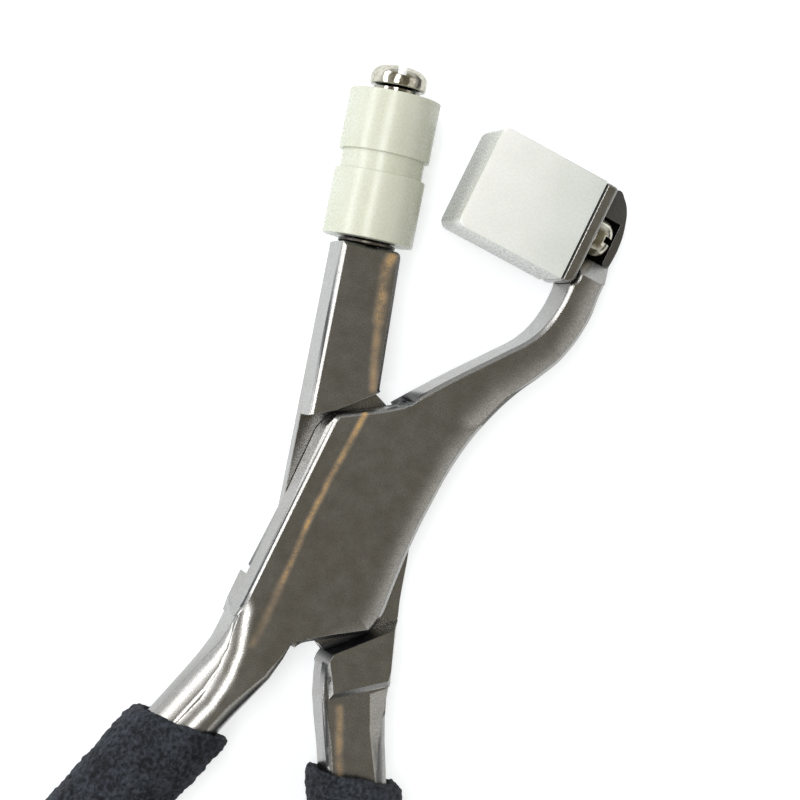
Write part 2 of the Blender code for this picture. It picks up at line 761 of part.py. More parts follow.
def cheek_side_cutter(cutters):
    """Leans the cheek's left side in, and cuts its front edge wide at the top and narrower below."""
    rings = []
    for shares, lean, chamfer in zip(CHEEK_FRONT_SHARES, CHEEK_SIDE_LEANS, CHEEK_SIDE_CHAMFERS):
        front = Vector((shares[0] * JOINT_HALF_WIDTH, shares[1] * JOINT_HALF_LENGTH, 0))
        foot = chamfer + lean
        slope = lean / (BODY_THICKNESS - chamfer)
        section = [
            (CUT_OVERRUN, BODY_THICKNESS + CUT_OVERRUN),
            (-chamfer, BODY_THICKNESS - chamfer),
            (-foot - slope * CUT_OVERRUN, -CUT_OVERRUN),
            (-foot - CUT_OVERRUN, -CUT_OVERRUN),
            (-foot - CUT_OVERRUN, BODY_THICKNESS + CUT_OVERRUN),
        ]
        rings.append([front + Vector((across, 0, up)) for across, up in section])
    made = loft("cheek_side", rings, cutters)
    in_triangles(made.data)
    return made


def head_pocket_cutter(cutters):
    """A round-bottomed pocket for the screw's head, open to the cleared front of the ear."""
    diameter = BLOCK_SCREW_HEAD_DIAMETER + 2 * HEAD_POCKET_CLEARANCE
    end = PLATE_OUTER_FACE + SEAT_GAP + BLOCK_SCREW_HEAD_HEIGHT + HEAD_POCKET_CLEARANCE
    return cylinder("head_pocket", diameter, PLATE_INNER_FACE, end, cutters, block_screw_frame())


def ear_cutter(cutters):
    """Clears the ear's front: a flat floor that ends in a slope below the screw's head."""
    floor = EAR_THICKNESS - MID_HEIGHT
    face = BODY_THICKNESS - MID_HEIGHT
    drop = face - floor
    rise = CUT_OVERRUN
    step_across = -EAR_STEP_OFFSET
    run_back = EAR_RAMP_LENGTH * rise / drop
    far = BLOCK_WIDTH
    section = [
        (step_across - run_back, face + rise),
        (step_across + EAR_RAMP_LENGTH, floor),
        (far, floor),
        (far, face + rise),
    ]
    stand_up = Matrix(((0, 0, 1, 0), (1, 0, 0, 0), (0, 1, 0, 0), (0, 0, 0, 1)))
    frame = block_frame() @ stand_up
    return prism("ear_clearing", section, PLATE_INNER_FACE, PLATE_OUTER_FACE + EAR_REACH, cutters, frame)


def make_straight_lever(collection, cutters):
    """The straight jaw, the tongue behind the cheek and the right handle, as one forging."""
    points = jaw_end_points()
    points += placed(TONGUE_SHARES, JOINT_HALF_WIDTH, JOINT_HALF_LENGTH)
    lever = plate("straight_lever", points, 0, BODY_THICKNESS, EDGE_CHAMFER, collection)
    cut(lever, shank("straight_shank", straight_handle(), cutters), "UNION")
    recess = placed(FRONT_RECESS_SHARES, JOINT_HALF_WIDTH, JOINT_HALF_LENGTH)
    cut(lever, prism("front_recess", recess, TONGUE_THICKNESS, BODY_THICKNESS + CUT_OVERRUN, cutters))
    relief = placed(SHOULDER_RELIEF_SHARES, JOINT_HALF_WIDTH, JOINT_HALF_LENGTH)
    cut(lever, prism("shoulder_relief", relief, -CUT_OVERRUN, BODY_THICKNESS + CUT_OVERRUN, cutters))
    cut(lever, draft_cutter(cutters))
    cut(lever, slope_cutter(cutters))
    cut(lever, countersink_cutter(cutters))
    tapped = ROLLER_SCREW_DIAMETER + 2 * SCREW_CLEARANCE
    depth = ROLLER_SCREW_ENGAGEMENT + HOLE_END_CLEARANCE
    cut(lever, cylinder("tapped_hole", tapped, -depth, CUT_OVERRUN, cutters, roller_frame()))
    return lever


def draft_cutter(cutters):
    """Leans the root's right side in above the lap, from its top corner down to the shank."""
    frame = Matrix.Translation((DRAFT_X, DRAFT_Y, TONGUE_THICKNESS)) @ Matrix.Rotation(DRAFT_TURN, 4, "Z")
    rise = BODY_THICKNESS + CUT_OVERRUN - TONGUE_THICKNESS
    lean = rise * math.tan(DRAFT_LEAN)
    section = [(0, 0), (CUT_OVERRUN, 0), (CUT_OVERRUN, rise), (-lean, rise)]
    stand_up = Matrix(((1, 0, 0, 0), (0, 0, 1, 0), (0, 1, 0, 0), (0, 0, 0, 1)))
    return prism("root_draft", section, -DRAFT_LENGTH, CUT_OVERRUN, cutters, frame @ stand_up)


def slope_cutter(cutters):
    """Slopes the root's front down to the shank at its lower end."""
    across, along = SLOPE_PLACE_SHARES
    place = (across * JOINT_HALF_WIDTH, along * JOINT_HALF_LENGTH, BODY_THICKNESS)
    frame = Matrix.Translation(place) @ Matrix.Rotation(SLOPE_TURN, 4, "Z")
    drop = BODY_THICKNESS - MID_HEIGHT - STRAIGHT_SHANK_THICKNESS / 2
    run_back = SLOPE_LENGTH * CUT_OVERRUN / drop
    section = [(run_back, CUT_OVERRUN), (-SLOPE_LENGTH, -drop), (-SLOPE_LENGTH, CUT_OVERRUN)]
    stand_up = Matrix(((0, 0, 1, 0), (1, 0, 0, 0), (0, 1, 0, 0), (0, 0, 0, 1)))
    return prism("root_slope", section, -JOINT_HALF_WIDTH, JOINT_HALF_WIDTH, cutters, frame @ stand_up)


def countersink_cutter(cutters):
    """The rivet's hole through the tongue, opened to a cone for its head."""
    bore = RIVET_DIAMETER / 2 + RIVET_CLEARANCE
    mouth = RIVET_HEAD_DIAMETER / 2 + RIVET_CLEARANCE
    profile = [
        (0, BODY_THICKNESS),
        (bore, BODY_THICKNESS),
        (bore, RIVET_HEAD_DEPTH + RIVET_CLEARANCE),
        (mouth, RIVET_CLEARANCE),
        (mouth, -CUT_OVERRUN),
        (0, -CUT_OVERRUN),
    ]
    return turned("rivet_countersink", profile, cutters, steps=TURNED_STEPS)


def make_pivot_rivet(collection):
    """A pin fixed in the cheek's blind hole, whose head lies flush in the tongue's back."""
    top = BODY_THICKNESS - RIVET_COVER
    radius = RIVET_DIAMETER / 2
    profile = [
        (0, top),
        (radius, top),
        (radius, RIVET_HEAD_DEPTH),
        (RIVET_HEAD_DIAMETER / 2, 0),
        (0, 0),
    ]
    return turned("pivot_rivet", profile, collection)


def tube_profile(outer, inner, start, end):
    return [(outer / 2, end), (outer / 2, start), (inner / 2, start), (inner / 2, end)]


def make_thrust_washer(collection):
    """The steel washer between the jaw's end and the roller."""
    bore = ROLLER_SCREW_DIAMETER + 2 * SCREW_CLEARANCE
    profile = tube_profile(WASHER_DIAMETER, bore, SEAT_GAP, SEAT_GAP + WASHER_THICKNESS)
    return turned("thrust_washer", profile, collection, roller_frame(), True)


def make_roller_bush(collection):
    """The steel sleeve that the roller turns on. Its end stands proud under the screw's head."""
    bore = ROLLER_SCREW_DIAMETER + 2 * SCREW_CLEARANCE
    profile = tube_profile(BUSH_DIAMETER, bore, BUSH_START, BUSH_END)
    return turned("roller_bush", profile, collection, roller_frame(), True)


def roller_profile():
    """The roller's section: bore, two lands and the groove between them."""
    radius = ROLLER_DIAMETER / 2
    low = ROLLER_START
    groove_low = low + ROLLER_LOWER_LENGTH
    groove_high = groove_low + ROLLER_GROOVE_LENGTH
    high = groove_high + ROLLER_UPPER_LENGTH
    floor = radius - ROLLER_GROOVE_DEPTH
    bore = BUSH_DIAMETER / 2 + ROLLER_CLEARANCE
    inset = radius - ROLLER_EDGE
    return [
        (inset, high),
        (radius, high - ROLLER_EDGE),
        (radius, groove_high),
        (floor, groove_high),
        (floor, groove_low),
        (radius, groove_low),
        (radius, low + ROLLER_EDGE),
        (inset, low),
        (bore, low),
        (bore, high),
    ]


def make_grooved_roller(collection):
    """The nylon roller, free to turn on its sleeve."""
    return turned("grooved_roller", roller_profile(), collection, roller_frame(), True, TURNED_STEPS)


def make_roller_screw(collection, cutters):
    """The screw that runs down through the sleeve into the jaw."""
    seat = BUSH_END + SEAT_GAP
    return screw(
        "roller_screw",
        (ROLLER_SCREW_HEAD_DIAMETER, ROLLER_SCREW_HEAD_HEIGHT),
        ROLLER_SCREW_DIAMETER,
        seat + ROLLER_SCREW_ENGAGEMENT,
        ROLLER_SLOT_TURN,
        collection,
        cutters,
        roller_frame() @ Matrix.Translation((0, 0, seat)),
    )


def make_pad_plate(collection, cutters):
    """The steel plate behind the block, rounded where it seats in the arched jaw."""
    frame = block_frame()
    middle = (PLATE_INNER_FACE + PLATE_OUTER_FACE) / 2
    radii = (PLATE_EDGE, PLATE_LOWER_RADIUS - PLATE_EDGE, PLATE_UPPER_RADIUS, PLATE_EDGE)
    points = rounded_rectangle(PLATE_THICKNESS, BLOCK_WIDTH, radii)
    half = PLATE_DEPTH / 2
    place = frame @ Matrix.Translation((middle, 0, 0))
    made = plate("pad_plate", points, -half, half, PLATE_EDGE, collection, place)
    hole = BLOCK_SCREW_DIAMETER + 2 * SCREW_CLEARANCE
    cut(
        made,
        cylinder("plate_hole", hole, 0, PLATE_OUTER_FACE + CUT_OVERRUN, cutters, block_screw_frame()),
    )
    return made


def is_upright(edge):
    first, second = edge.verts
    return abs(first.co.z - second.co.z) > BLOCK_EDGE


def round_edges(work, edges, radius, steps):
    bmesh.ops.bevel(
        work,
        geom=edges,
        offset=radius,
        segments=steps,
        profile=ROUND_PROFILE,
        affect="EDGES",
    )


def make_pad_block(collection, cutters):
    """The nylon block: a bar cut square at the plate, with rounded corners at its working end."""
    mesh = bpy.data.meshes.new("pad_block")
    work = bmesh.new()
    bmesh.ops.create_cube(work, size=1)
    bmesh.ops.scale(work, vec=(BLOCK_LENGTH, BLOCK_WIDTH, BLOCK_DEPTH), verts=work.verts)
    free_end = {vert for vert in work.verts if vert.co.x < 0}
    upright = [edge for edge in work.edges if free_end.issuperset(edge.verts) and is_upright(edge)]
    round_edges(work, upright, BLOCK_CORNER_RADIUS, CORNER_STEPS)
    seated = {vert for vert in work.verts if vert.co.x > BLOCK_LENGTH / 2 - BLOCK_EDGE}
    flat_faces = [face for face in work.faces if abs(face.normal.z) > abs(face.normal.x) + abs(face.normal.y)]
    rims = [edge for face in flat_faces for edge in face.edges if not seated.issuperset(edge.verts)]
    round_edges(work, rims, BLOCK_EDGE, 1)
    work.to_mesh(mesh)
    work.free()
    smooth_shading(mesh, math.radians(40))
    made = add_object("pad_block", mesh, collection, block_frame())
    hole = BLOCK_SCREW_DIAMETER + 2 * SCREW_CLEARANCE
    half = BLOCK_LENGTH / 2
    blind = half - BLOCK_SCREW_BITE - HOLE_END_CLEARANCE
    cut(made, cylinder("block_hole", hole, blind, half + CUT_OVERRUN, cutters, block_screw_frame()))
    return made


def make_pad_screw(collection, cutters):
    """The screw that passes through the plate and bites in the block."""
    seat = PLATE_OUTER_FACE + SEAT_GAP
    frame = block_screw_frame() @ Matrix.Translation((0, 0, seat))
    length = seat - BLOCK_LENGTH / 2 + BLOCK_SCREW_BITE
    return screw(
        "pad_screw",
        (BLOCK_SCREW_HEAD_DIAMETER, BLOCK_SCREW_HEAD_HEIGHT),
        BLOCK_SCREW_DIAMETER,
        length,
        BLOCK_SLOT_TURN,
        collection,
        cutters,
        frame,
    )


def finish(obj, made_material, carrier=None):
    """Gives a piece its material and hangs it on the joint that carries it."""
    obj.data.materials.append(made_material)
    obj.parent = carrier


def main():
    clear_scene()
    parts = new_collection(OBJECT_NAME)
    cutters = new_collection("cutters")
    cutters.hide_render = True

    hinge = add_object("arm_hinge_axis", None, parts)
    finish(make_straight_lever(parts, cutters), steel("straight_lever_steel"))
    finish(make_arm_lever(parts, cutters), steel("arm_lever_steel"), hinge)
    finish(make_pivot_rivet(parts), steel("rivet_steel"), hinge)
    finish(make_pad_plate(parts, cutters), steel("plate_steel"), hinge)
    finish(make_pad_block(parts, cutters), nylon("block_nylon"), hinge)
    finish(make_pad_screw(parts, cutters), bright_steel("pad_screw_steel"), hinge)
    finish(grip("arm_grip", arm_handle(), parts), foam("arm_grip_foam"), hinge)
    finish(make_thrust_washer(parts), bright_steel("washer_steel"))
    finish(make_roller_bush(parts), bright_steel("bush_steel"))
    finish(make_grooved_roller(parts), nylon("roller_nylon"))
    finish(make_roller_screw(parts, cutters), bright_steel("roller_screw_steel"))
    finish(grip("straight_grip", straight_handle(), parts), foam("straight_grip_foam"))


main()
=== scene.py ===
"""Looks of the optical pliers: finer pieces, finishes, a white stage, lamps and a camera."""

import json
import math

import bmesh
import bpy
from mathutils import Matrix, Vector, noise

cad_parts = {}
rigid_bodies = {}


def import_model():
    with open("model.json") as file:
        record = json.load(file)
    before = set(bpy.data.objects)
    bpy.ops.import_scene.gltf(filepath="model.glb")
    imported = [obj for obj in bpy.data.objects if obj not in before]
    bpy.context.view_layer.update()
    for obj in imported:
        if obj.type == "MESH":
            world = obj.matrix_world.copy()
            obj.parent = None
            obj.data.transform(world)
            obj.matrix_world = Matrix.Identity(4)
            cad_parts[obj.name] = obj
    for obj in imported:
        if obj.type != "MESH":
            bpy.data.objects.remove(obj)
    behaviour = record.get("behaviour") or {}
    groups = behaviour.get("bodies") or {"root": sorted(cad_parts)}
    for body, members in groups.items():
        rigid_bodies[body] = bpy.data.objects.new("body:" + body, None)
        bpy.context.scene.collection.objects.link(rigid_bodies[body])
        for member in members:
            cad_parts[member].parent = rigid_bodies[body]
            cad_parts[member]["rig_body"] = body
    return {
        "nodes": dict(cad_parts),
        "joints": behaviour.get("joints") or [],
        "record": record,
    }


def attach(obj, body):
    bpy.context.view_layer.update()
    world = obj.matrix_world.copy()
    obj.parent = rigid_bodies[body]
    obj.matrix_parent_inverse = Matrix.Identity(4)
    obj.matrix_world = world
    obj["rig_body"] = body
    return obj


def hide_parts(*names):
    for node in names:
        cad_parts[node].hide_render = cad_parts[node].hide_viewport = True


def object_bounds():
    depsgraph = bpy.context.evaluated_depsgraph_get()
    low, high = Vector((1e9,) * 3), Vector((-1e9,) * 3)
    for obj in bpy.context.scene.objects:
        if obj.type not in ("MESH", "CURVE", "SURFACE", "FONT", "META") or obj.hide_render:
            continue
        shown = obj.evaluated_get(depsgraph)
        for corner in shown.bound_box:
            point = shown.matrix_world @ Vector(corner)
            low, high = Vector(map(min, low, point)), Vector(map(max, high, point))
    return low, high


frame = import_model()
CAD_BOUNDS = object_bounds()

MILLIMETRE = 0.001
QUARTER_TURN = 90

# Camera, which looks down on the tool a little from its left. Places are in metres.
CAMERA_PLACE = (-0.07308, 0.00145, 0.28903)
CAMERA_TARGET = (0.00206, 0.01546, 0.0036)
CAMERA_TURN = math.radians(19.43)
CAMERA_LENS = 112.5
CAMERA_NEAR = 0.01

# Floor: it glows where it is seen directly, so that it shows white round the shadow
FLOOR_SIZE = 3.0
FLOOR_GAP = 0.1 * MILLIMETRE
FLOOR_WHITE = (0.62, 0.66, 0.69)
FLOOR_ROUGHNESS = 0.9
FLOOR_GLOW_COLOUR = (1.0, 1.0, 1.0)
FLOOR_GLOW = 0.62

# Sky: how bright it is and its colour near the horizon and overhead. One gives way to the other
# between two heights, as shares of straight up, and low down on its right the sky is darker.
SKY_HORIZON = 0.74
SKY_ZENITH = 0.20
SKY_HORIZON_COLOUR = (0.97, 0.99, 1.0)
SKY_ZENITH_COLOUR = (1.0, 0.90, 0.68)
SKY_HEIGHT_SHARES = (0.30, 0.88)
SKY_DARK_SHARE = 0.80
SKY_DARK_RIGHT_SHARES = (0.50, 0.85)
SKY_DARK_HEIGHT_SHARES = (0.28, 0.50)

# Lamps: each one's place and its size across and along, in metres, and its power in watts
LAMP_TARGET = (0.0, 0.0, 0.0)
TOP_LAMP = ((-0.27, 0.03, 0.70), (0.20, 0.60), 2.7)
LEFT_LAMP = ((-0.87, 0.02, 0.33), (0.26, 1.20), 4.9)
RIGHT_LAMP = ((0.52, 0.02, 0.58), (0.34, 0.80), 0.65)

# Noise, whose middle value is 0.5. Detail is how often it is broken up again, the break share how
# strongly, and limits are the values between which one thing gives way to another.
LOW_DETAIL = 2.0
MIDDLE_DETAIL = 3.0
HIGH_DETAIL = 4.0
FOAM_DETAIL = 5.0
BREAK_SHARE = 0.5
NOISE_LIMITS = (0.35, 0.65)
WIDE_NOISE_LIMITS = (0.3, 0.7)

# Painted shade in nooks: how closely they are looked at, and how dark the painted shade gets, from the
# deepest to the open
NOOK_SAMPLES = 16
NOOK_SHADE_SHARES = (0.85, 0.0)

# Steel finish: warm and cool patches, dark grain, and tan streaks painted as a reflection of something
# warm.
# The limits of its roughness are those of two noises added up, and the limits of its streaks those of
# three.
STEEL_WARM = (0.39, 0.38, 0.36)
STEEL_COOL = (0.41, 0.405, 0.395)
PAINTED_TAN_REFLECTION = (0.62, 0.39, 0.16)
STEEL_PATCH_SIZE = 9 * MILLIMETRE
STEEL_SMEAR_SIZE = 1.6 * MILLIMETRE
STEEL_GRAIN_SIZE = 0.13 * MILLIMETRE
STEEL_GRAIN_HEIGHT = 0.003 * MILLIMETRE
STEEL_GRAIN_LIMITS = (0.35, 0.75)
STEEL_GRAIN_DARK_SHARES = (0.0, 0.45)
STEEL_ROUGHNESS_LIMITS = (0.6, 1.4)
STEEL_ROUGHNESS = (0.22, 0.32)
STREAK_LIMITS = (1.25, 1.75)
STREAK_SHARES = (0.25, 1.0)
STREAK_DULL_SHARE = 0.8

# Painted shade on the steel, in its nooks and along its marks. The same dark colour also tints its grain
DARK_GRAIN_AND_PAINTED_SHADE = (0.022, 0.024, 0.028)
SHADE_NOOK_REACH = 1.6 * MILLIMETRE
SHADE_NOOK_LIMITS = (0.25, 0.62)
SHADE_BREAK_LIMITS = (0.25, 0.45)
SHADE_BREAK_SHARES = (0.75, 1.0)
PAINTED_SHADE_ROUGHNESS = 0.6

# Plated finish: bright waves, dull spots and painted shade in its nooks
NICKEL_LIGHT = (0.62, 0.60, 0.52)
NICKEL_DARK = (0.40, 0.38, 0.31)
NICKEL_ROUGHNESS = 0.10
WASHER_LIGHT = (0.20, 0.18, 0.15)
WASHER_DARK = (0.09, 0.08, 0.065)
WASHER_ROUGHNESS = 0.40
PLATING_WAVE_SIZE = 0.7 * MILLIMETRE
PLATING_WAVE_HEIGHT = 0.030 * MILLIMETRE
PLATING_SPOT_SIZE = 0.22 * MILLIMETRE
PLATING_SPOT_HEIGHT = 0.004 * MILLIMETRE
PLATING_SPOT_LIMITS = (0.45, 0.75)
PLATING_SPOT_ROUGHNESS = 0.16
PLATING_SHADE_REACH = 1.2 * MILLIMETRE
PLATING_SHADE_LIMITS = (0.30, 0.75)

# Nylon finish: cloudy patches and tool marks, with a little light passing through
ROLLER_PALE = (0.61, 0.63, 0.52)
ROLLER_CLOUDY = (0.65, 0.67, 0.575)
ROLLER_RING_SIZE = 0.22 * MILLIMETRE
BLOCK_PALE = (0.96, 0.97, 0.95)
# The block's cloudy colour is also its painted shade towards its seat
BLOCK_CLOUDY_AND_SHADED = (0.64, 0.68, 0.65)
BLOCK_RING_SIZE = 1.1 * MILLIMETRE
NYLON_CLOUD_SIZE = 5 * MILLIMETRE
NYLON_FINE_SIZE = 0.30 * MILLIMETRE
NYLON_FINE_HEIGHT = 0.005 * MILLIMETRE
NYLON_RING_HEIGHT = 0.002 * MILLIMETRE
NYLON_RING_STRETCH = (0.02, 0.02, 1.0)
NYLON_ROUGHNESS = (0.22, 0.32)
NYLON_IOR = 1.53
NYLON_SUBSURFACE_SHARE = 0.25
NYLON_SUBSURFACE_COLOURS = (1.0, 0.95, 0.75)
NYLON_SUBSURFACE_DEPTH = 0.5 * MILLIMETRE

# The block is painted darker from its working face to its seat as painted shade, and its working face has
# painted shade too
BLOCK_SHADE_FADE = 15 * MILLIMETRE
BLOCK_SHADE_FADE_SHARE = 0.8
BLOCK_FACE_SHADE = (0.52, 0.53, 0.48)
BLOCK_FACE_SHADE_DEPTHS = (0.02 * MILLIMETRE, 0.25 * MILLIMETRE)

# Foam finish: specks and cells on faint patches
FOAM_DARK = (0.004, 0.006, 0.010)
FOAM_LIGHT = (0.058, 0.070, 0.090)
FOAM_PATCH_SIZE = 4 * MILLIMETRE
FOAM_PATCH_SHARE = 0.3
FOAM_SPECK_SIZE = 0.55 * MILLIMETRE
FOAM_SPECK_HEIGHT = 0.60 * MILLIMETRE
FOAM_SPECK_BREAK_SHARE = 0.65
FOAM_CELL_SIZE = 0.50 * MILLIMETRE
FOAM_CELL_HEIGHT = 0.10 * MILLIMETRE
FOAM_TONE_LIMITS = (0.44, 0.62)
FOAM_ROUGHNESS = (0.60, 0.85)
FOAM_SPECULAR = 0.35

# Worn copies of CAD pieces: how finely they are remeshed, and how often they are smoothed
WORN_FACTOR = 0.5
PLATE_VOXEL = 0.10 * MILLIMETRE
PLATE_SMOOTHINGS = 3
FOAM_VOXEL = 0.26 * MILLIMETRE
FOAM_SMOOTHINGS = 3

# Foam: the sizes and heights of its lumps and crumbs, and of the pits between them
FOAM_LUMP_SIZE = 2.2 * MILLIMETRE
FOAM_LUMP_HEIGHT = 0.16 * MILLIMETRE
FOAM_CRUMB_SIZE = 0.62 * MILLIMETRE
FOAM_CRUMB_HEIGHT = 0.20 * MILLIMETRE
FOAM_PIT_SIZE = 0.50 * MILLIMETRE
FOAM_PIT_DEPTH = 0.26 * MILLIMETRE

# Meshes: how near to each other corners are welded, and the profile that makes a bevel round
WELD_DISTANCE = 0.002 * MILLIMETRE
ROUND_PROFILE = 0.5

# Levers: how far their sharp edges are eased, where along the tool that ends, and the angles that
# tell flat, sharp and smooth edges apart
EDGE_EASE = 0.06 * MILLIMETRE
EDGE_EASE_STEPS = 2
EDGE_EASE_END = -14.2 * MILLIMETRE
FLAT_ANGLE = math.radians(0.6)
SHARP_ANGLE = math.radians(40)
SMOOTH_ANGLE = math.radians(42)
FACETED_ANGLE = math.radians(14)

# Shanks: the box in which the front of the arm's is brought level with the cheek's, and the facet
# polished along the straight one's right, whose sections run from the front down and out past the
# side. All are in millimetres from the pivot at the back of the joint.
STEP_BOX = ((-10.0, -18.0, 7.10), (0.0, -14.0, 7.19))
FRONT_FACE = 7.2
STRAIGHT_FACET = (
    ((9.22, -18.45, 6.50), (12.0, -16.5, 5.45)),
    ((10.40, -22.50, 6.50), (13.6, -21.5, 5.40)),
    ((12.63, -27.37, 6.50), (15.8, -25.9, 5.40)),
    ((15.20, -33.00, 6.45), (18.4, -31.5, 5.35)),
)
FACET_CUTTER_HEIGHT = 3.0

# Soft rounds on the arm, along the cheek's right edge and the shank's left one. Each has its line,
# how far from it the round starts and ends, and how far it drops, all in millimetres.
CHEEK_EDGE_LINE = (
    (20.5, 35.7), (19.9, 30.5), (18.8, 26.3), (16.0, 22.8), (13.2, 19.6), (11.1, 15.6), (11.9, 15.0),
    (10.3, 11.5), (8.9, 5.0), (8.1, -0.9), (7.75, -6.0), (7.5, -9.5), (6.8, -11.6), (4.5, -13.4),
)
SHANK_EDGE_LINE = (
    (-10.7, -14.3), (-10.2, -18.3), (-10.35, -20.9), (-11.2, -24.3), (-13.0, -27.9), (-15.5, -31.5),
)
ARM_ROUNDS = ((CHEEK_EDGE_LINE, 0.0, 3.0, 0.33), (SHANK_EDGE_LINE, 1.5, 3.9, 0.80))

# Marks on the steel: painted tan reflections and painted shade. Each has its line's places, its reach to
# both sides, the lowest and highest level it shows at, all in millimetres, and its strength as a share.
# Painted tan reflections on the arm, down its cheek and onto its shank
ARM_TAN_REFLECTIONS = (
    (((-2.3, 12.5), (-3.0, 8.4), (-3.9, 3.6), (-4.6, -1.7), (-4.9, -5.6), (-5.2, -9.0)),
     0.62, 6.9, 8.0, 1.0),
    (((-5.2, -9.0), (-5.6, -13.0), (-6.2, -17.0)), 0.80, 6.9, 8.0, 0.5),
)
# Painted tan reflections on the straight lever's jaw and shank
STRAIGHT_TAN_REFLECTIONS = (
    (((-5.3, 31.0), (-5.6, 29.4), (-5.2, 27.3), (-4.4, 23.2)), 1.10, 7.0, 8.0, 1.0),
    (((-4.4, 23.2), (-3.5, 19.2), (-2.4, 15.5)), 0.85, 7.0, 8.0, 0.6),
    (((6.4, -21.0), (7.6, -24.6), (9.4, -29.5)), 0.80, 6.3, 8.0, 0.6),
)
# Painted shade on the arm: the crotch between the jaws, the ear's pocket, and a dark line along the
# cheek's left chamfer
ARM_PAINTED_SHADE = (
    (((0.6, 14.6), (2.6, 15.4), (3.2, 17.0)), 1.2, 0.0, 6.95, 1.0),
    (((19.0, 38.5), (20.5, 49.0)), 4.5, 0.0, 4.4, 0.7),
    (((-5.45, 10.17), (-6.06, 6.16), (-6.67, 1.8), (-7.31, -2.82), (-7.98, -8.03), (-8.77, -13.27)),
     0.30, 6.35, 6.95, 0.9),
)
# Painted shade on the straight lever: the slots at both ends of the joint, the tongue left of the cheek,
# and dark lines along the left chamfers of shank and jaw
STRAIGHT_PAINTED_SHADE = (
    (((-7.6, 11.2), (-5.6, 12.2), (-1.5, 15.3), (-0.2, 17.0)), 1.0, 0.0, 6.95, 1.0),
    (((7.6, -12.0), (6.6, -12.75), (3.3, -15.4), (2.0, -16.4)), 1.3, 0.0, 6.95, 1.0),
    (((-7.5, -1.0), (-8.4, -8.7)), 0.6, 0.0, 6.95, 1.0),
    (((-8.0, 9.5), (-8.6, 3.0), (-8.6, -3.0)), 3.2, 2.4, 2.9, 0.45),
    (((2.92, -16.24), (4.48, -20.67), (7.35, -27.77)), 0.35, 4.5, 6.98, 0.9),
    (((-11.65, 30.24), (-10.71, 24.68), (-9.9, 20.06), (-8.88, 14.28), (-8.27, 10.57)),
     0.40, 6.0, 6.95, 0.9),
)

# Turned pieces
TURN_STEPS = 128
TURNED_ANGLE = math.radians(35)
TUBE_EDGE = 0.08 * MILLIMETRE
ROLLER_EDGE = 0.12 * MILLIMETRE
ROLLER_EDGE_STEPS = 4
ROLLER_GROOVE_SHARES = (0.451, 0.584)
ROLLER_GROOVE_DEPTH = 0.50 * MILLIMETRE

# Screws. The rim and the slot's depth are shares of the head's height, and the foot's rise is one
# of the rim's. The foot, the slot's width and the length of its cutter are shares of the radius.
SCREW_HEAD_RIM_SHARE = 0.40
SCREW_FOOT_SHARE = 0.97
SCREW_FOOT_RISE_SHARE = 0.2
SCREW_DOME_POWER = 0.55
SCREW_DOME_STEPS = 12
SCREW_SLOT_SHARE = 0.16
SCREW_SLOT_DEPTH_SHARE = 0.50
SCREW_CUTTER_SHARE = 3
SCREW_LIP = 0.07 * MILLIMETRE
SCREW_LIP_STEPS = 2
SCREW_LIP_ANGLE = math.radians(50)
SCREW_SHARP_ANGLE = math.radians(40)
ROLLER_SLOT_TURN = math.radians(-9)
PAD_SLOT_TURN = 0.0

# Where a CAD screw's head and shank are looked for: out at the head's rim, and well below it
NEAR_RIM_SHARE = 0.98
BELOW_HEAD_SHARE = 0.2

# Block
BLOCK_CORNER_RADIUS = 1.1 * MILLIMETRE
BLOCK_CORNER_STEPS = 10
BLOCK_EDGE_RADIUS = 0.22 * MILLIMETRE
BLOCK_EDGE_STEPS = 3


def named(record_list, name):
    return next(entry for entry in record_list if entry["name"] == name)


def placed(point, across, up, along):
    """The frame at a point with the three axes given."""
    return Matrix.Translation(Vector(point)) @ Matrix((across, up, along)).transposed().to_4x4()


def axis_frame(point, axis):
    """A frame at a point with local Z along an axis that lies level, and local X beside it."""
    along = Vector(axis).normalized()
    beside = Vector((along.y, -along.x, 0)).normalized()
    return placed(point, beside, along.cross(beside), along)


def roller_frame():
    joint = named(frame["joints"], "roller_spin")
    return axis_frame(joint["pos_m"], joint["axis"])


def block_frame():
    """Local Z runs from the block's working face out through the plate, local X across it."""
    mount = named(frame["record"]["mounts"], "block_face")
    return axis_frame(mount["pos_m"], [-share for share in mount["axis"]])


def local_points(node, place):
    """A CAD node's corners in the local frame given."""
    inverse = place.inverted()
    return [inverse @ corner.co for corner in frame["nodes"][node].data.vertices]


def span(points, axis):
    values = [point[axis] for point in points]
    return min(values), max(values)


def radii(points):
    return [math.hypot(point.x, point.y) for point in points]


def linked(name, data):
    obj = bpy.data.objects.new(name, data)
    bpy.context.scene.collection.objects.link(obj)
    return obj


def meshed(name, work):
    """A mesh made from a bmesh, which is then freed."""
    mesh = bpy.data.meshes.new(name)
    work.to_mesh(mesh)
    work.free()
    return mesh


def evaluated_mesh(obj):
    """The object's mesh with its modifiers applied. The object itself is removed."""
    graph = bpy.context.evaluated_depsgraph_get()
    mesh = bpy.data.meshes.new_from_object(obj.evaluated_get(graph))
    bpy.data.objects.remove(obj)
    return mesh


def dressed(name, mesh, node, finish, place=None):
    """A piece that stands for a CAD node, rides on its body and has its finish."""
    obj = linked(name, mesh)
    if place is not None:
        obj.matrix_world = place
    mesh.materials.clear()
    mesh.materials.append(finish)
    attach(obj, frame["nodes"][node]["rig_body"])
    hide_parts(node)
    return obj


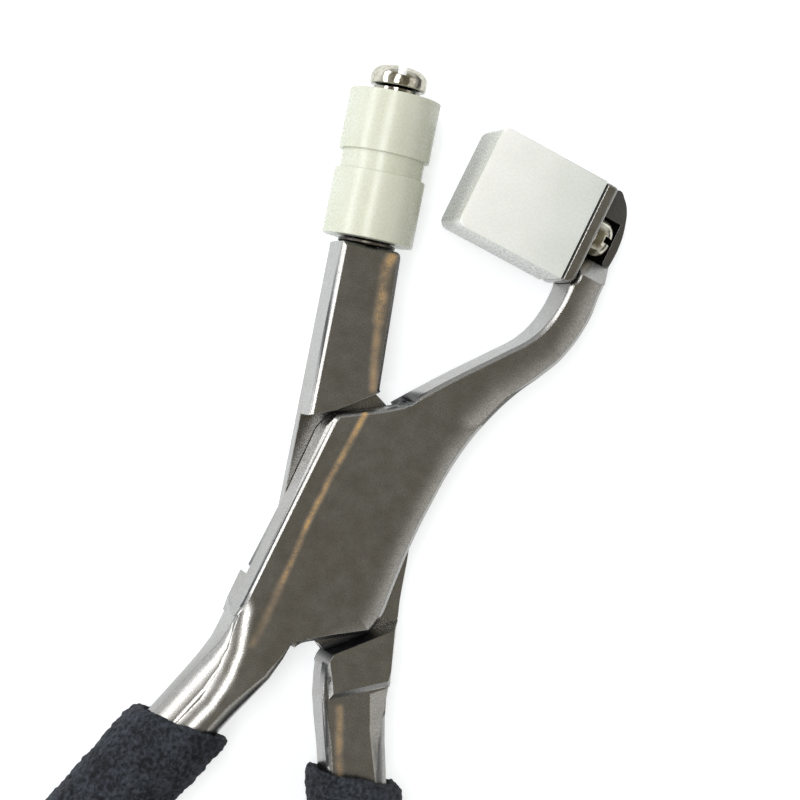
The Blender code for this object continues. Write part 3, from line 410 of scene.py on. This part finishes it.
def worn_copy(node, voxel, smoothings):
    """A copy of a CAD piece with its edges worn round."""
    obj = linked(node + "_copy", frame["nodes"][node].data.copy())
    weld = obj.modifiers.new("Weld", "WELD")
    weld.merge_threshold = WELD_DISTANCE
    remesh = obj.modifiers.new("Remesh", "REMESH")
    remesh.mode = "VOXEL"
    remesh.voxel_size = voxel
    remesh.use_smooth_shade = True
    smooth = obj.modifiers.new("Smooth", "SMOOTH")
    smooth.factor = WORN_FACTOR
    smooth.iterations = smoothings
    return evaluated_mesh(obj)


def settled(name, mesh, smooth_angle):
    """Shades a mesh smooth, but keeps its flat faces flat and its sharp edges crisp."""
    mesh.shade_smooth()
    mesh.set_sharp_from_angle(angle=smooth_angle)
    obj = linked(name, mesh)
    obj.modifiers.new("Weighted", "WEIGHTED_NORMAL").keep_sharp = True
    return evaluated_mesh(obj)


def round_edges(work, edges, radius, steps):
    settings = {"offset": radius, "segments": steps, "profile": ROUND_PROFILE, "affect": "EDGES"}
    bmesh.ops.bevel(work, geom=edges, **settings)


def eased(name, mesh, smooth_angle):
    """A mesh with its sharp edges a little eased, as polishing leaves them."""
    work = bmesh.new()
    work.from_mesh(mesh)
    bmesh.ops.remove_doubles(work, verts=work.verts, dist=WELD_DISTANCE)
    bmesh.ops.dissolve_limit(work, angle_limit=FLAT_ANGLE, verts=work.verts, edges=work.edges)
    sharp = []
    for edge in work.edges:
        above = min(vert.co.y for vert in edge.verts) > EDGE_EASE_END
        if above and edge.is_manifold and edge.calc_face_angle() > SHARP_ANGLE:
            sharp.append(edge)
    round_edges(work, sharp, EDGE_EASE, EDGE_EASE_STEPS)
    return settled(name, meshed(name, work), smooth_angle)


def facet_cutter(sections):
    """A closed bar along the sections, which takes off all that lies in front of them."""
    work = bmesh.new()
    rings = []
    for front, side in sections:
        top = front[2] + FACET_CUTTER_HEIGHT
        corners = (front, side, (side[0], side[1], top), (front[0], front[1], top))
        rings.append([work.verts.new([length * MILLIMETRE for length in corner]) for corner in corners])
    for first, second in zip(rings, rings[1:]):
        for corner in range(len(first)):
            after = (corner + 1) % len(first)
            work.faces.new((first[corner], first[after], second[after], second[corner]))
    work.faces.new(rings[0])
    work.faces.new(rings[-1])
    bmesh.ops.triangulate(work, faces=work.faces)
    bmesh.ops.recalc_face_normals(work, faces=work.faces)
    return linked("facet_cutter", meshed("facet_cutter", work))


def level_arm():
    """The arm lever with its shank's front brought up level with the cheek's."""
    mesh = frame["nodes"]["arm_lever"].data.copy()
    low, high = [[length * MILLIMETRE for length in corner] for corner in STEP_BOX]
    for vertex in mesh.vertices:
        if all(low[axis] < vertex.co[axis] < high[axis] for axis in range(3)):
            vertex.co.z = FRONT_FACE * MILLIMETRE
    return mesh


def cut_away(obj, cutter):
    """Adds a cut to the object. The cutter has to stay until the object is evaluated."""
    cut = obj.modifiers.new("Cut", "BOOLEAN")
    cut.operation = "DIFFERENCE"
    cut.solver = "EXACT"
    cut.object = cutter


def faceted_straight():
    """The straight lever with the facet taken off its shank."""
    obj = linked("straight_shank", frame["nodes"]["straight_lever"].data.copy())
    cutter = facet_cutter(STRAIGHT_FACET)
    cut_away(obj, cutter)
    mesh = evaluated_mesh(obj)
    bpy.data.objects.remove(cutter)
    return mesh


def turned_mesh(name, profile):
    """A closed profile of (radius, height) pairs turned about local Z."""
    mesh = bpy.data.meshes.new(name)
    count = len(profile)
    edges = [(i, (i + 1) % count) for i in range(count)]
    mesh.from_pydata([(radius, 0, height) for radius, height in profile], edges, [])
    obj = linked(name, mesh)
    turn = obj.modifiers.new("Turn", "SCREW")
    turn.steps = TURN_STEPS
    turn.render_steps = TURN_STEPS
    turn.use_merge_vertices = True
    turn.merge_threshold = WELD_DISTANCE
    work = bmesh.new()
    work.from_mesh(evaluated_mesh(obj))
    bmesh.ops.remove_doubles(work, verts=work.verts, dist=WELD_DISTANCE)
    bmesh.ops.recalc_face_normals(work, faces=work.faces)
    made = meshed(name, work)
    made.shade_smooth()
    made.set_sharp_from_angle(angle=TURNED_ANGLE)
    return made


def rounded_corner(radius, height, size, start):
    """Points of a quarter round about (radius, height), from a start angle in degrees."""
    points = []
    for step in range(ROLLER_EDGE_STEPS + 1):
        turn = math.radians(start + QUARTER_TURN * step / ROLLER_EDGE_STEPS)
        points.append((radius + size * math.cos(turn), height + size * math.sin(turn)))
    return points


class Nodes:
    """Adds nodes to a tree. What goes into them can be a socket or a plain value."""

    def __init__(self, tree):
        self.tree = tree

    def node(self, kind, **settings):
        made = self.tree.nodes.new(kind)
        for setting, value in settings.items():
            setattr(made, setting, value)
        return made

    def feed(self, socket, value):
        if isinstance(value, bpy.types.NodeSocket):
            self.tree.links.new(value, socket)
        else:
            socket.default_value = value

    def maths(self, operation, first, second):
        made = self.node("ShaderNodeMath", operation=operation)
        self.feed(made.inputs[0], first)
        self.feed(made.inputs[1], second)
        return made.outputs["Value"]

    def between(self, value, limits, becomes=(0.0, 1.0), step="LINEAR"):
        """A value that runs between two limits, turned into one that runs between two others."""
        made = self.node("ShaderNodeMapRange", interpolation_type=step)
        self.feed(made.inputs["Value"], value)
        made.inputs["From Min"].default_value, made.inputs["From Max"].default_value = limits
        made.inputs["To Min"].default_value, made.inputs["To Max"].default_value = becomes
        return made.outputs["Result"]

    def blend(self, factor, first, second):
        """The first colour where the factor is 0, and the second where it is 1."""
        made = self.node("ShaderNodeMix", data_type="RGBA")
        self.feed(made.inputs["Factor"], factor)
        for key, colour in (("A", first), ("B", second)):
            plain = not isinstance(colour, bpy.types.NodeSocket)
            self.feed(made.inputs[key], (*colour, 1) if plain else colour)
        return made.outputs["Result"]

    def parts(self, vector):
        """The X, Y and Z of a vector."""
        split = self.node("ShaderNodeSeparateXYZ")
        self.feed(split.inputs["Vector"], vector)
        return [split.outputs[axis] for axis in "XYZ"]


class Finish(Nodes):
    """One material, built up from its shader with procedural detail in the piece's own frame."""

    def __init__(self, name):
        self.material = bpy.data.materials.new(name)
        self.material.use_nodes = True
        super().__init__(self.material.node_tree)
        self.shader = self.tree.nodes["Principled BSDF"]
        self.place = self.node("ShaderNodeTexCoord").outputs["Object"]

    def stretched(self, stretch):
        mapping = self.node("ShaderNodeMapping")
        self.feed(mapping.inputs["Vector"], self.place)
        mapping.inputs["Scale"].default_value = stretch
        return mapping.outputs["Vector"]

    def noise(self, size, detail, stretch=None, break_share=BREAK_SHARE):
        """Soft noise whose features are about the given size in metres."""
        made = self.node("ShaderNodeTexNoise")
        self.feed(made.inputs["Vector"], self.stretched(stretch) if stretch else self.place)
        made.inputs["Scale"].default_value = 1 / size
        made.inputs["Detail"].default_value = detail
        made.inputs["Roughness"].default_value = break_share
        return made.outputs["Fac"]

    def cells(self, size):
        """How far the surface lies from the middle of the cell that it is in."""
        made = self.node("ShaderNodeTexVoronoi")
        self.feed(made.inputs["Vector"], self.place)
        made.inputs["Scale"].default_value = 1 / size
        return made.outputs["Distance"]

    def vector(self, operation, first, second):
        made = self.node("ShaderNodeVectorMath", operation=operation)
        self.feed(made.inputs[0], first)
        self.feed(made.inputs[1], second)
        scalar = operation in ("DOT_PRODUCT", "DISTANCE")
        return made.outputs["Value" if scalar else "Vector"]

    def distance_to(self, line):
        """How many millimetres the surface lies from a line of places, as seen from the front."""
        level = self.vector("MULTIPLY", self.place, (1 / MILLIMETRE, 1 / MILLIMETRE, 0))
        nearest = None
        for first, second in zip(line, line[1:]):
            along = (second[0] - first[0], second[1] - first[1], 0)
            offset = self.vector("SUBTRACT", level, (*first, 0))
            length_squared = along[0] ** 2 + along[1] ** 2
            share = self.maths("DIVIDE", self.vector("DOT_PRODUCT", offset, along), length_squared)
            share.node.use_clamp = True
            spread = self.node("ShaderNodeCombineXYZ")
            for axis in range(3):
                self.feed(spread.inputs[axis], share)
            beside = self.vector("MULTIPLY", spread.outputs["Vector"], along)
            distance = self.vector("DISTANCE", offset, beside)
            nearest = distance if nearest is None else self.maths("MINIMUM", nearest, distance)
        return nearest

    def marks(self, lines):
        """How strongly the given marks show: see the lists of marks for what each one holds."""
        height = self.parts(self.place)[2]
        total = 0.0
        for line, reach, low, high, share in lines:
            near = self.between(self.distance_to(line), (0.0, reach), (share, 0.0), "SMOOTHSTEP")
            above = self.maths("GREATER_THAN", height, low * MILLIMETRE)
            under = self.maths("LESS_THAN", height, high * MILLIMETRE)
            near = self.maths("MULTIPLY", near, self.maths("MULTIPLY", above, under))
            total = self.maths("MAXIMUM", total, near)
        return total

    def nook_shade(self, reach, limits):
        """How dark the painted shade is in the nooks that other surfaces crowd within the given reach."""
        made = self.node("ShaderNodeAmbientOcclusion", samples=NOOK_SAMPLES)
        made.inputs["Distance"].default_value = reach
        return self.between(made.outputs["AO"], limits, NOOK_SHADE_SHARES)

    def mixed(self, first, share, second):
        """The given share of the first value, and for the rest the second."""
        first_part = self.maths("MULTIPLY", first, share)
        return self.maths("ADD", first_part, self.maths("MULTIPLY", second, 1 - share))

    def bump(self, height, distance, under=None):
        made = self.node("ShaderNodeBump")
        made.inputs["Distance"].default_value = distance
        self.feed(made.inputs["Height"], height)
        if under is not None:
            self.feed(made.inputs["Normal"], under)
        return made.outputs["Normal"]

    def use(self, **sockets):
        """Feeds the shader's sockets, whose names have underscores for spaces here."""
        for name, value in sockets.items():
            self.feed(self.shader.inputs[name.replace("_", " ")], value)
        return self.material


def steel_finish(name, reflection_streaks=(), shade_marks=(), rounds=()):
    """Satin stainless steel: fine grain, tan streaks painted as a reflection, and painted shade in its
    nooks.
    """
    finish = Finish(name)
    patches = finish.noise(STEEL_PATCH_SIZE, MIDDLE_DETAIL)
    grain = finish.noise(STEEL_GRAIN_SIZE, LOW_DETAIL)
    smears = finish.noise(STEEL_SMEAR_SIZE, HIGH_DETAIL)
    colour = finish.blend(finish.between(patches, NOISE_LIMITS), STEEL_WARM, STEEL_COOL)
    speckle = finish.between(grain, STEEL_GRAIN_LIMITS, STEEL_GRAIN_DARK_SHARES)
    colour = finish.blend(speckle, colour, DARK_GRAIN_AND_PAINTED_SHADE)
    mottle = finish.maths("ADD", smears, finish.maths("ADD", grain, patches))
    patchy = finish.between(mottle, STREAK_LIMITS, STREAK_SHARES)
    # Painted reflection: tan streaks, with the metal dulled under them
    painted_reflection = finish.maths("MULTIPLY", finish.marks(reflection_streaks), patchy)
    colour = finish.blend(painted_reflection, colour, PAINTED_TAN_REFLECTION)
    # Painted shade: nooks and marked lines are darkened where shade falls, broken up by the smears
    painted_shade = finish.maths("MAXIMUM", finish.nook_shade(SHADE_NOOK_REACH, SHADE_NOOK_LIMITS), finish.marks(shade_marks))
    painted_shade = finish.maths("MULTIPLY", painted_shade, finish.between(smears, SHADE_BREAK_LIMITS, SHADE_BREAK_SHARES))
    colour = finish.blend(painted_shade, colour, DARK_GRAIN_AND_PAINTED_SHADE)
    wear_and_face_shade = finish.maths("ADD", smears, grain)
    rough = finish.between(wear_and_face_shade, STEEL_ROUGHNESS_LIMITS, STEEL_ROUGHNESS)
    rough = finish.maths("MAXIMUM", rough, finish.maths("MULTIPLY", painted_shade, PAINTED_SHADE_ROUGHNESS))
    metal = finish.maths("SUBTRACT", 1.0, finish.maths("MULTIPLY", painted_reflection, STREAK_DULL_SHARE))
    normal = finish.bump(grain, STEEL_GRAIN_HEIGHT)
    for line, start, end, drop in rounds:
        share = finish.between(finish.distance_to(line), (start, end), (1.0, 0.0))
        sunk = finish.maths("SUBTRACT", 1.0, finish.maths("MULTIPLY", share, share))
        normal = finish.bump(sunk, drop * MILLIMETRE, normal)
    return finish.use(Base_Color=colour, Metallic=metal, Roughness=rough, Normal=normal)


def plated_finish(name, light, dark, roughness):
    """Bright plating with faint waves, small dull spots and painted shade in its nooks."""
    finish = Finish(name)
    waves = finish.noise(PLATING_WAVE_SIZE, LOW_DETAIL)
    spots = finish.noise(PLATING_SPOT_SIZE, HIGH_DETAIL)
    colour = finish.blend(finish.between(waves, NOISE_LIMITS), light, dark)
    # Painted shade darkens the nooks
    colour = finish.blend(finish.nook_shade(PLATING_SHADE_REACH, PLATING_SHADE_LIMITS), colour, DARK_GRAIN_AND_PAINTED_SHADE)
    dulled = (roughness, roughness + PLATING_SPOT_ROUGHNESS)
    rough = finish.between(spots, PLATING_SPOT_LIMITS, dulled)
    normal = finish.bump(waves, PLATING_WAVE_HEIGHT)
    normal = finish.bump(spots, PLATING_SPOT_HEIGHT, normal)
    return finish.use(Base_Color=colour, Metallic=1.0, Roughness=rough, Normal=normal)


def nylon_finish(name, pale, cloudy, ring_size, shaded_face=False):
    """Natural nylon. On a shaded face, painted shade darkens the face at the foot of local Z, and the
    piece is painted darker away from it.
    """
    finish = Finish(name)
    clouds = finish.noise(NYLON_CLOUD_SIZE, MIDDLE_DETAIL)
    fine = finish.noise(NYLON_FINE_SIZE, HIGH_DETAIL)
    rings = finish.noise(ring_size, LOW_DETAIL, NYLON_RING_STRETCH)
    share = finish.between(clouds, WIDE_NOISE_LIMITS)
    # Painted shade on the working face, and painted shade growing towards the seat
    if shaded_face:
        height = finish.parts(finish.place)[2]
        wear_and_face_shade = finish.between(height, BLOCK_FACE_SHADE_DEPTHS, (1.0, 0.0))
        share = finish.mixed(finish.between(height, (0.0, BLOCK_SHADE_FADE)), BLOCK_SHADE_FADE_SHARE, share)
    colour = finish.blend(share, pale, cloudy)
    if shaded_face:
        colour = finish.blend(wear_and_face_shade, colour, BLOCK_FACE_SHADE)
    rough = finish.between(fine, NOISE_LIMITS, NYLON_ROUGHNESS)
    normal = finish.bump(rings, NYLON_RING_HEIGHT)
    normal = finish.bump(fine, NYLON_FINE_HEIGHT, normal)
    finish.use(
        Subsurface_Weight=NYLON_SUBSURFACE_SHARE,
        Subsurface_Radius=NYLON_SUBSURFACE_COLOURS,
        Subsurface_Scale=NYLON_SUBSURFACE_DEPTH,
        IOR=NYLON_IOR,
    )
    return finish.use(Base_Color=colour, Roughness=rough, Normal=normal)


def foam_finish(name):
    """Closed-cell foam with its skin broken into fine pits."""
    finish = Finish(name)
    patches = finish.noise(FOAM_PATCH_SIZE, MIDDLE_DETAIL)
    specks = finish.noise(FOAM_SPECK_SIZE, FOAM_DETAIL, None, FOAM_SPECK_BREAK_SHARE)
    tone = finish.mixed(patches, FOAM_PATCH_SHARE, specks)
    colour = finish.blend(finish.between(tone, FOAM_TONE_LIMITS), FOAM_DARK, FOAM_LIGHT)
    rough = finish.between(specks, WIDE_NOISE_LIMITS, FOAM_ROUGHNESS)
    normal = finish.bump(specks, FOAM_SPECK_HEIGHT)
    normal = finish.bump(finish.cells(FOAM_CELL_SIZE), FOAM_CELL_HEIGHT, normal)
    finish.use(Specular_IOR_Level=FOAM_SPECULAR)
    return finish.use(Base_Color=colour, Roughness=rough, Normal=normal)


def make_levers():
    finish = steel_finish("arm_lever_finish", ARM_TAN_REFLECTIONS, ARM_PAINTED_SHADE, ARM_ROUNDS)
    mesh = eased("arm_lever_polished", level_arm(), SMOOTH_ANGLE)
    dressed("arm_lever_polished", mesh, "arm_lever", finish)
    finish = steel_finish("straight_lever_finish", STRAIGHT_TAN_REFLECTIONS, STRAIGHT_PAINTED_SHADE)
    mesh = eased("straight_lever_polished", faceted_straight(), FACETED_ANGLE)
    dressed("straight_lever_polished", mesh, "straight_lever", finish)


def make_plate():
    mesh = worn_copy("pad_plate", PLATE_VOXEL, PLATE_SMOOTHINGS)
    dressed("pad_plate_polished", mesh, "pad_plate", steel_finish("plate_finish"))


def tube_profile(node, place):
    """The rounded section of a ring or sleeve, from its CAD node's size."""
    points = local_points(node, place)
    low, high = span(points, 2)
    inner, outer = min(radii(points)), max(radii(points))
    edge = TUBE_EDGE
    profile = [(outer - edge, high), (outer, high - edge), (outer, low + edge), (outer - edge, low)]
    return profile + [(inner, low), (inner, high)]


def make_sleeve_and_washer(nickel):
    place = roller_frame()
    dark = plated_finish("washer_finish", WASHER_LIGHT, WASHER_DARK, WASHER_ROUGHNESS)
    rows = (("roller_bush", "bush_steel", nickel), ("thrust_washer", "washer_steel", dark))
    for node, slot, finish in rows:
        mesh = turned_mesh(node, tube_profile(node, place))
        dressed(node + "_turned", mesh, node, finish, place)


def make_rivet():
    """The rivet keeps its CAD mesh and only gets its finish."""
    node = frame["nodes"]["pivot_rivet"]
    node.data.materials.clear()
    node.data.materials.append(steel_finish("rivet_finish"))


def make_roller():
    """The roller with softened edges at its ends and at both sides of its groove."""
    place = roller_frame()
    points = local_points("grooved_roller", place)
    low, high = span(points, 2)
    bore, outer = min(radii(points)), max(radii(points))
    groove_low, groove_high = [low + (high - low) * share for share in ROLLER_GROOVE_SHARES]
    floor = outer - ROLLER_GROOVE_DEPTH
    edge = ROLLER_EDGE
    profile = [(bore, high), (bore, low)]
    profile += rounded_corner(outer - edge, low + edge, edge, -QUARTER_TURN)
    profile += rounded_corner(outer - edge, groove_low - edge, edge, 0)
    profile += [(floor, groove_low), (floor, groove_high)]
    profile += rounded_corner(outer - edge, groove_high + edge, edge, -QUARTER_TURN)
    profile += rounded_corner(outer - edge, high - edge, edge, 0)
    mesh = turned_mesh("roller", profile)
    finish = nylon_finish("roller_finish", ROLLER_PALE, ROLLER_CLOUDY, ROLLER_RING_SIZE)
    dressed("roller_turned", mesh, "grooved_roller", finish, place)


def screw_profile(low, head_low, high, shank, head_radius):
    """The section of a pan-head screw: its shank, the rim of its head and the dome over it."""
    height = high - head_low
    rim = height * SCREW_HEAD_RIM_SHARE
    profile = [(0, low), (shank, low), (shank, head_low), (head_radius * SCREW_FOOT_SHARE, head_low)]
    profile += [(head_radius, head_low + rim * SCREW_FOOT_RISE_SHARE), (head_radius, head_low + rim)]
    for step in range(1, SCREW_DOME_STEPS + 1):
        turn = math.radians(QUARTER_TURN * step / SCREW_DOME_STEPS)
        across = head_radius * abs(math.cos(turn)) ** SCREW_DOME_POWER
        profile.append((across, head_low + rim + (height - rim) * math.sin(turn)))
    return profile


def slot_cutter(name, head_radius, floor, top, slot_turn):
    """A bar across the head, whose underside is the floor of the slot."""
    lengths = (2 * head_radius * SCREW_SLOT_SHARE, head_radius * SCREW_CUTTER_SHARE, top - floor)
    turned = Matrix.Rotation(slot_turn, 4, "Z") @ Matrix.Translation((0, 0, (top + floor) / 2))
    work = bmesh.new()
    bmesh.ops.create_cube(work, size=1, matrix=turned @ Matrix.Diagonal((*lengths, 1)))
    return linked(name, meshed(name, work))


def screw_mesh(node, place, slot_turn):
    """A pan-head screw of its CAD node's size, with a slot that has softened lips."""
    points = local_points(node, place)
    low, high = span(points, 2)
    head_radius = max(radii(points))
    near_rim = head_radius * NEAR_RIM_SHARE
    head_low = min(p.z for p in points if math.hypot(p.x, p.y) > near_rim)
    height = high - head_low
    below = head_low - height * BELOW_HEAD_SHARE
    shank = max(radii([p for p in points if p.z < below]))
    obj = linked(node, turned_mesh(node, screw_profile(low, head_low, high, shank, head_radius)))
    floor = head_low + height * (1 - SCREW_SLOT_DEPTH_SHARE)
    cutter = slot_cutter(node + "_cutter", head_radius, floor, high + height, slot_turn)
    cut_away(obj, cutter)
    soften = obj.modifiers.new("Soften", "BEVEL")
    soften.width = SCREW_LIP
    soften.segments = SCREW_LIP_STEPS
    soften.limit_method = "ANGLE"
    soften.angle_limit = SCREW_LIP_ANGLE
    made = evaluated_mesh(obj)
    bpy.data.objects.remove(cutter)
    made.shade_smooth()
    made.set_sharp_from_angle(angle=SCREW_SHARP_ANGLE)
    return made


def make_screws(nickel):
    place = roller_frame()
    mesh = screw_mesh("roller_screw", place, ROLLER_SLOT_TURN)
    dressed("roller_screw_turned", mesh, "roller_screw", nickel, place)
    middle = sum(span(local_points("pad_screw", block_frame()), 0)) / 2
    place = block_frame() @ Matrix.Translation((middle, 0, 0))
    mesh = screw_mesh("pad_screw", place, PAD_SLOT_TURN)
    dressed("pad_screw_turned", mesh, "pad_screw", nickel, place)


def is_upright(edge):
    first, second = edge.verts
    return abs(first.co.y - second.co.y) > BLOCK_CORNER_RADIUS


def make_block():
    """The nylon block, with rounded corners at its working end and crisp edges elsewhere."""
    place = block_frame()
    points = local_points("pad_block", place)
    lows, highs = zip(*[span(points, axis) for axis in range(3)])
    middle = [(low + high) / 2 for low, high in zip(lows, highs)]
    lengths = [high - low for low, high in zip(lows, highs)]
    shape = Matrix.Translation(middle) @ Matrix.Diagonal((*lengths, 1))
    work = bmesh.new()
    bmesh.ops.create_cube(work, size=1, matrix=shape)
    free_end = {vert for vert in work.verts if vert.co.z < middle[2]}
    upright = [edge for edge in work.edges if free_end.issuperset(edge.verts) and is_upright(edge)]
    round_edges(work, upright, BLOCK_CORNER_RADIUS, BLOCK_CORNER_STEPS)
    seated = {vert for vert in work.verts if vert.co.z > highs[2] - BLOCK_EDGE_RADIUS}
    rims = []
    for face in work.faces:
        if abs(face.normal.y) > abs(face.normal.x) + abs(face.normal.z):
            rims += [edge for edge in face.edges if not seated.issuperset(edge.verts)]
    round_edges(work, rims, BLOCK_EDGE_RADIUS, BLOCK_EDGE_STEPS)
    mesh = settled("pad_block", meshed("pad_block", work), SMOOTH_ANGLE)
    finish = nylon_finish("block_finish", BLOCK_PALE, BLOCK_CLOUDY_AND_SHADED, BLOCK_RING_SIZE, shaded_face=True)
    dressed("pad_block_bar", mesh, "pad_block", finish, place)


def make_grips():
    """Foam sleeves with lumps and pits in their surface."""
    for node in ("arm_grip", "straight_grip"):
        mesh = worn_copy(node, FOAM_VOXEL, FOAM_SMOOTHINGS)
        normals = [vertex.normal.copy() for vertex in mesh.vertices]
        for vertex, normal in zip(mesh.vertices, normals):
            lump = noise.noise(vertex.co / FOAM_LUMP_SIZE) * FOAM_LUMP_HEIGHT
            crumb = noise.noise(vertex.co / FOAM_CRUMB_SIZE) * FOAM_CRUMB_HEIGHT
            pit = max(noise.noise(vertex.co / FOAM_PIT_SIZE), 0) * FOAM_PIT_DEPTH
            vertex.co += normal * (lump + crumb - pit)
        mesh.shade_smooth()
        slot = node + "_foam"
        piece = dressed(node + "_sleeve", mesh, node, foam_finish(slot + "_finish"))


def make_camera():
    place = Vector(CAMERA_PLACE)
    back = (place - Vector(CAMERA_TARGET)).normalized()
    hint = Vector((-math.sin(CAMERA_TURN), math.cos(CAMERA_TURN), 0))
    right = hint.cross(back).normalized()
    data = bpy.data.cameras.new("camera")
    data.lens = CAMERA_LENS
    data.clip_start = CAMERA_NEAR
    camera = linked("camera", data)
    camera.matrix_world = placed(place, right, back.cross(right), back)
    bpy.context.scene.camera = camera


def make_lamp(name, place, size, power):
    data = bpy.data.lights.new(name, "AREA")
    data.shape = "RECTANGLE"
    data.size, data.size_y = size
    data.energy = power
    back = (Vector(place) - Vector(LAMP_TARGET)).normalized()
    across = Vector((0, 1, 0)).cross(back).normalized()
    linked(name, data).matrix_world = placed(place, across, back.cross(across), back)


def seen_directly(nodes):
    """1 for rays that see a surface from the camera, in a reflection or through glass."""
    path = nodes.node("ShaderNodeLightPath")
    total = path.outputs["Is Camera Ray"]
    for name in ("Is Glossy Ray", "Is Transmission Ray"):
        total = nodes.maths("MAXIMUM", total, path.outputs[name])
    return total


def floor_finish():
    """A white floor that keeps the object's shadow and shows white round it."""
    finish = Finish("floor_finish")
    return finish.use(
        Base_Color=(*FLOOR_WHITE, 1),
        Roughness=FLOOR_ROUGHNESS,
        Specular_IOR_Level=0.0,
        Emission_Color=(*FLOOR_GLOW_COLOUR, 1),
        Emission_Strength=finish.maths("MULTIPLY", seen_directly(finish), FLOOR_GLOW),
    )


def make_floor():
    lowest = CAD_BOUNDS[0][2]
    work = bmesh.new()
    bmesh.ops.create_grid(work, x_segments=2, y_segments=2, size=FLOOR_SIZE / 2)
    mesh = meshed("floor", work)
    floor = linked("floor", mesh)
    floor.location.z = lowest - FLOOR_GAP
    mesh.materials.append(floor_finish())


def make_sky():
    """A plain studio sky: dim overhead, bright near the horizon, and dark low down on its right."""
    world = bpy.data.worlds.new("studio")
    bpy.context.scene.world = world
    world.use_nodes = True
    sky = Nodes(world.node_tree)
    right, _, height = sky.parts(sky.node("ShaderNodeTexCoord").outputs["Generated"])
    strengths = (SKY_HORIZON, SKY_ZENITH)
    strength = sky.between(height, SKY_HEIGHT_SHARES, strengths, "SMOOTHSTEP")
    far_right = sky.between(right, SKY_DARK_RIGHT_SHARES, (0.0, SKY_DARK_SHARE), "SMOOTHSTEP")
    low_down = sky.between(height, SKY_DARK_HEIGHT_SHARES, (1.0, 0.0), "SMOOTHSTEP")
    kept = sky.maths("SUBTRACT", 1.0, sky.maths("MULTIPLY", far_right, low_down))
    overhead = sky.between(height, SKY_HEIGHT_SHARES, step="SMOOTHSTEP")
    background = sky.tree.nodes["Background"]
    sky.feed(background.inputs["Color"], sky.blend(overhead, SKY_HORIZON_COLOUR, SKY_ZENITH_COLOUR))
    sky.feed(background.inputs["Strength"], sky.maths("MULTIPLY", strength, kept))


def main():
    make_camera()
    make_levers()
    make_plate()
    nickel = plated_finish("nickel_finish", NICKEL_LIGHT, NICKEL_DARK, NICKEL_ROUGHNESS)
    make_sleeve_and_washer(nickel)
    make_rivet()
    make_roller()
    make_screws(nickel)
    make_block()
    make_grips()
    make_floor()
    make_sky()
    make_lamp("top_lamp", *TOP_LAMP)
    make_lamp("left_lamp", *LEFT_LAMP)
    make_lamp("right_lamp", *RIGHT_LAMP)
    bpy.context.scene.view_settings.view_transform = "Standard"


main()
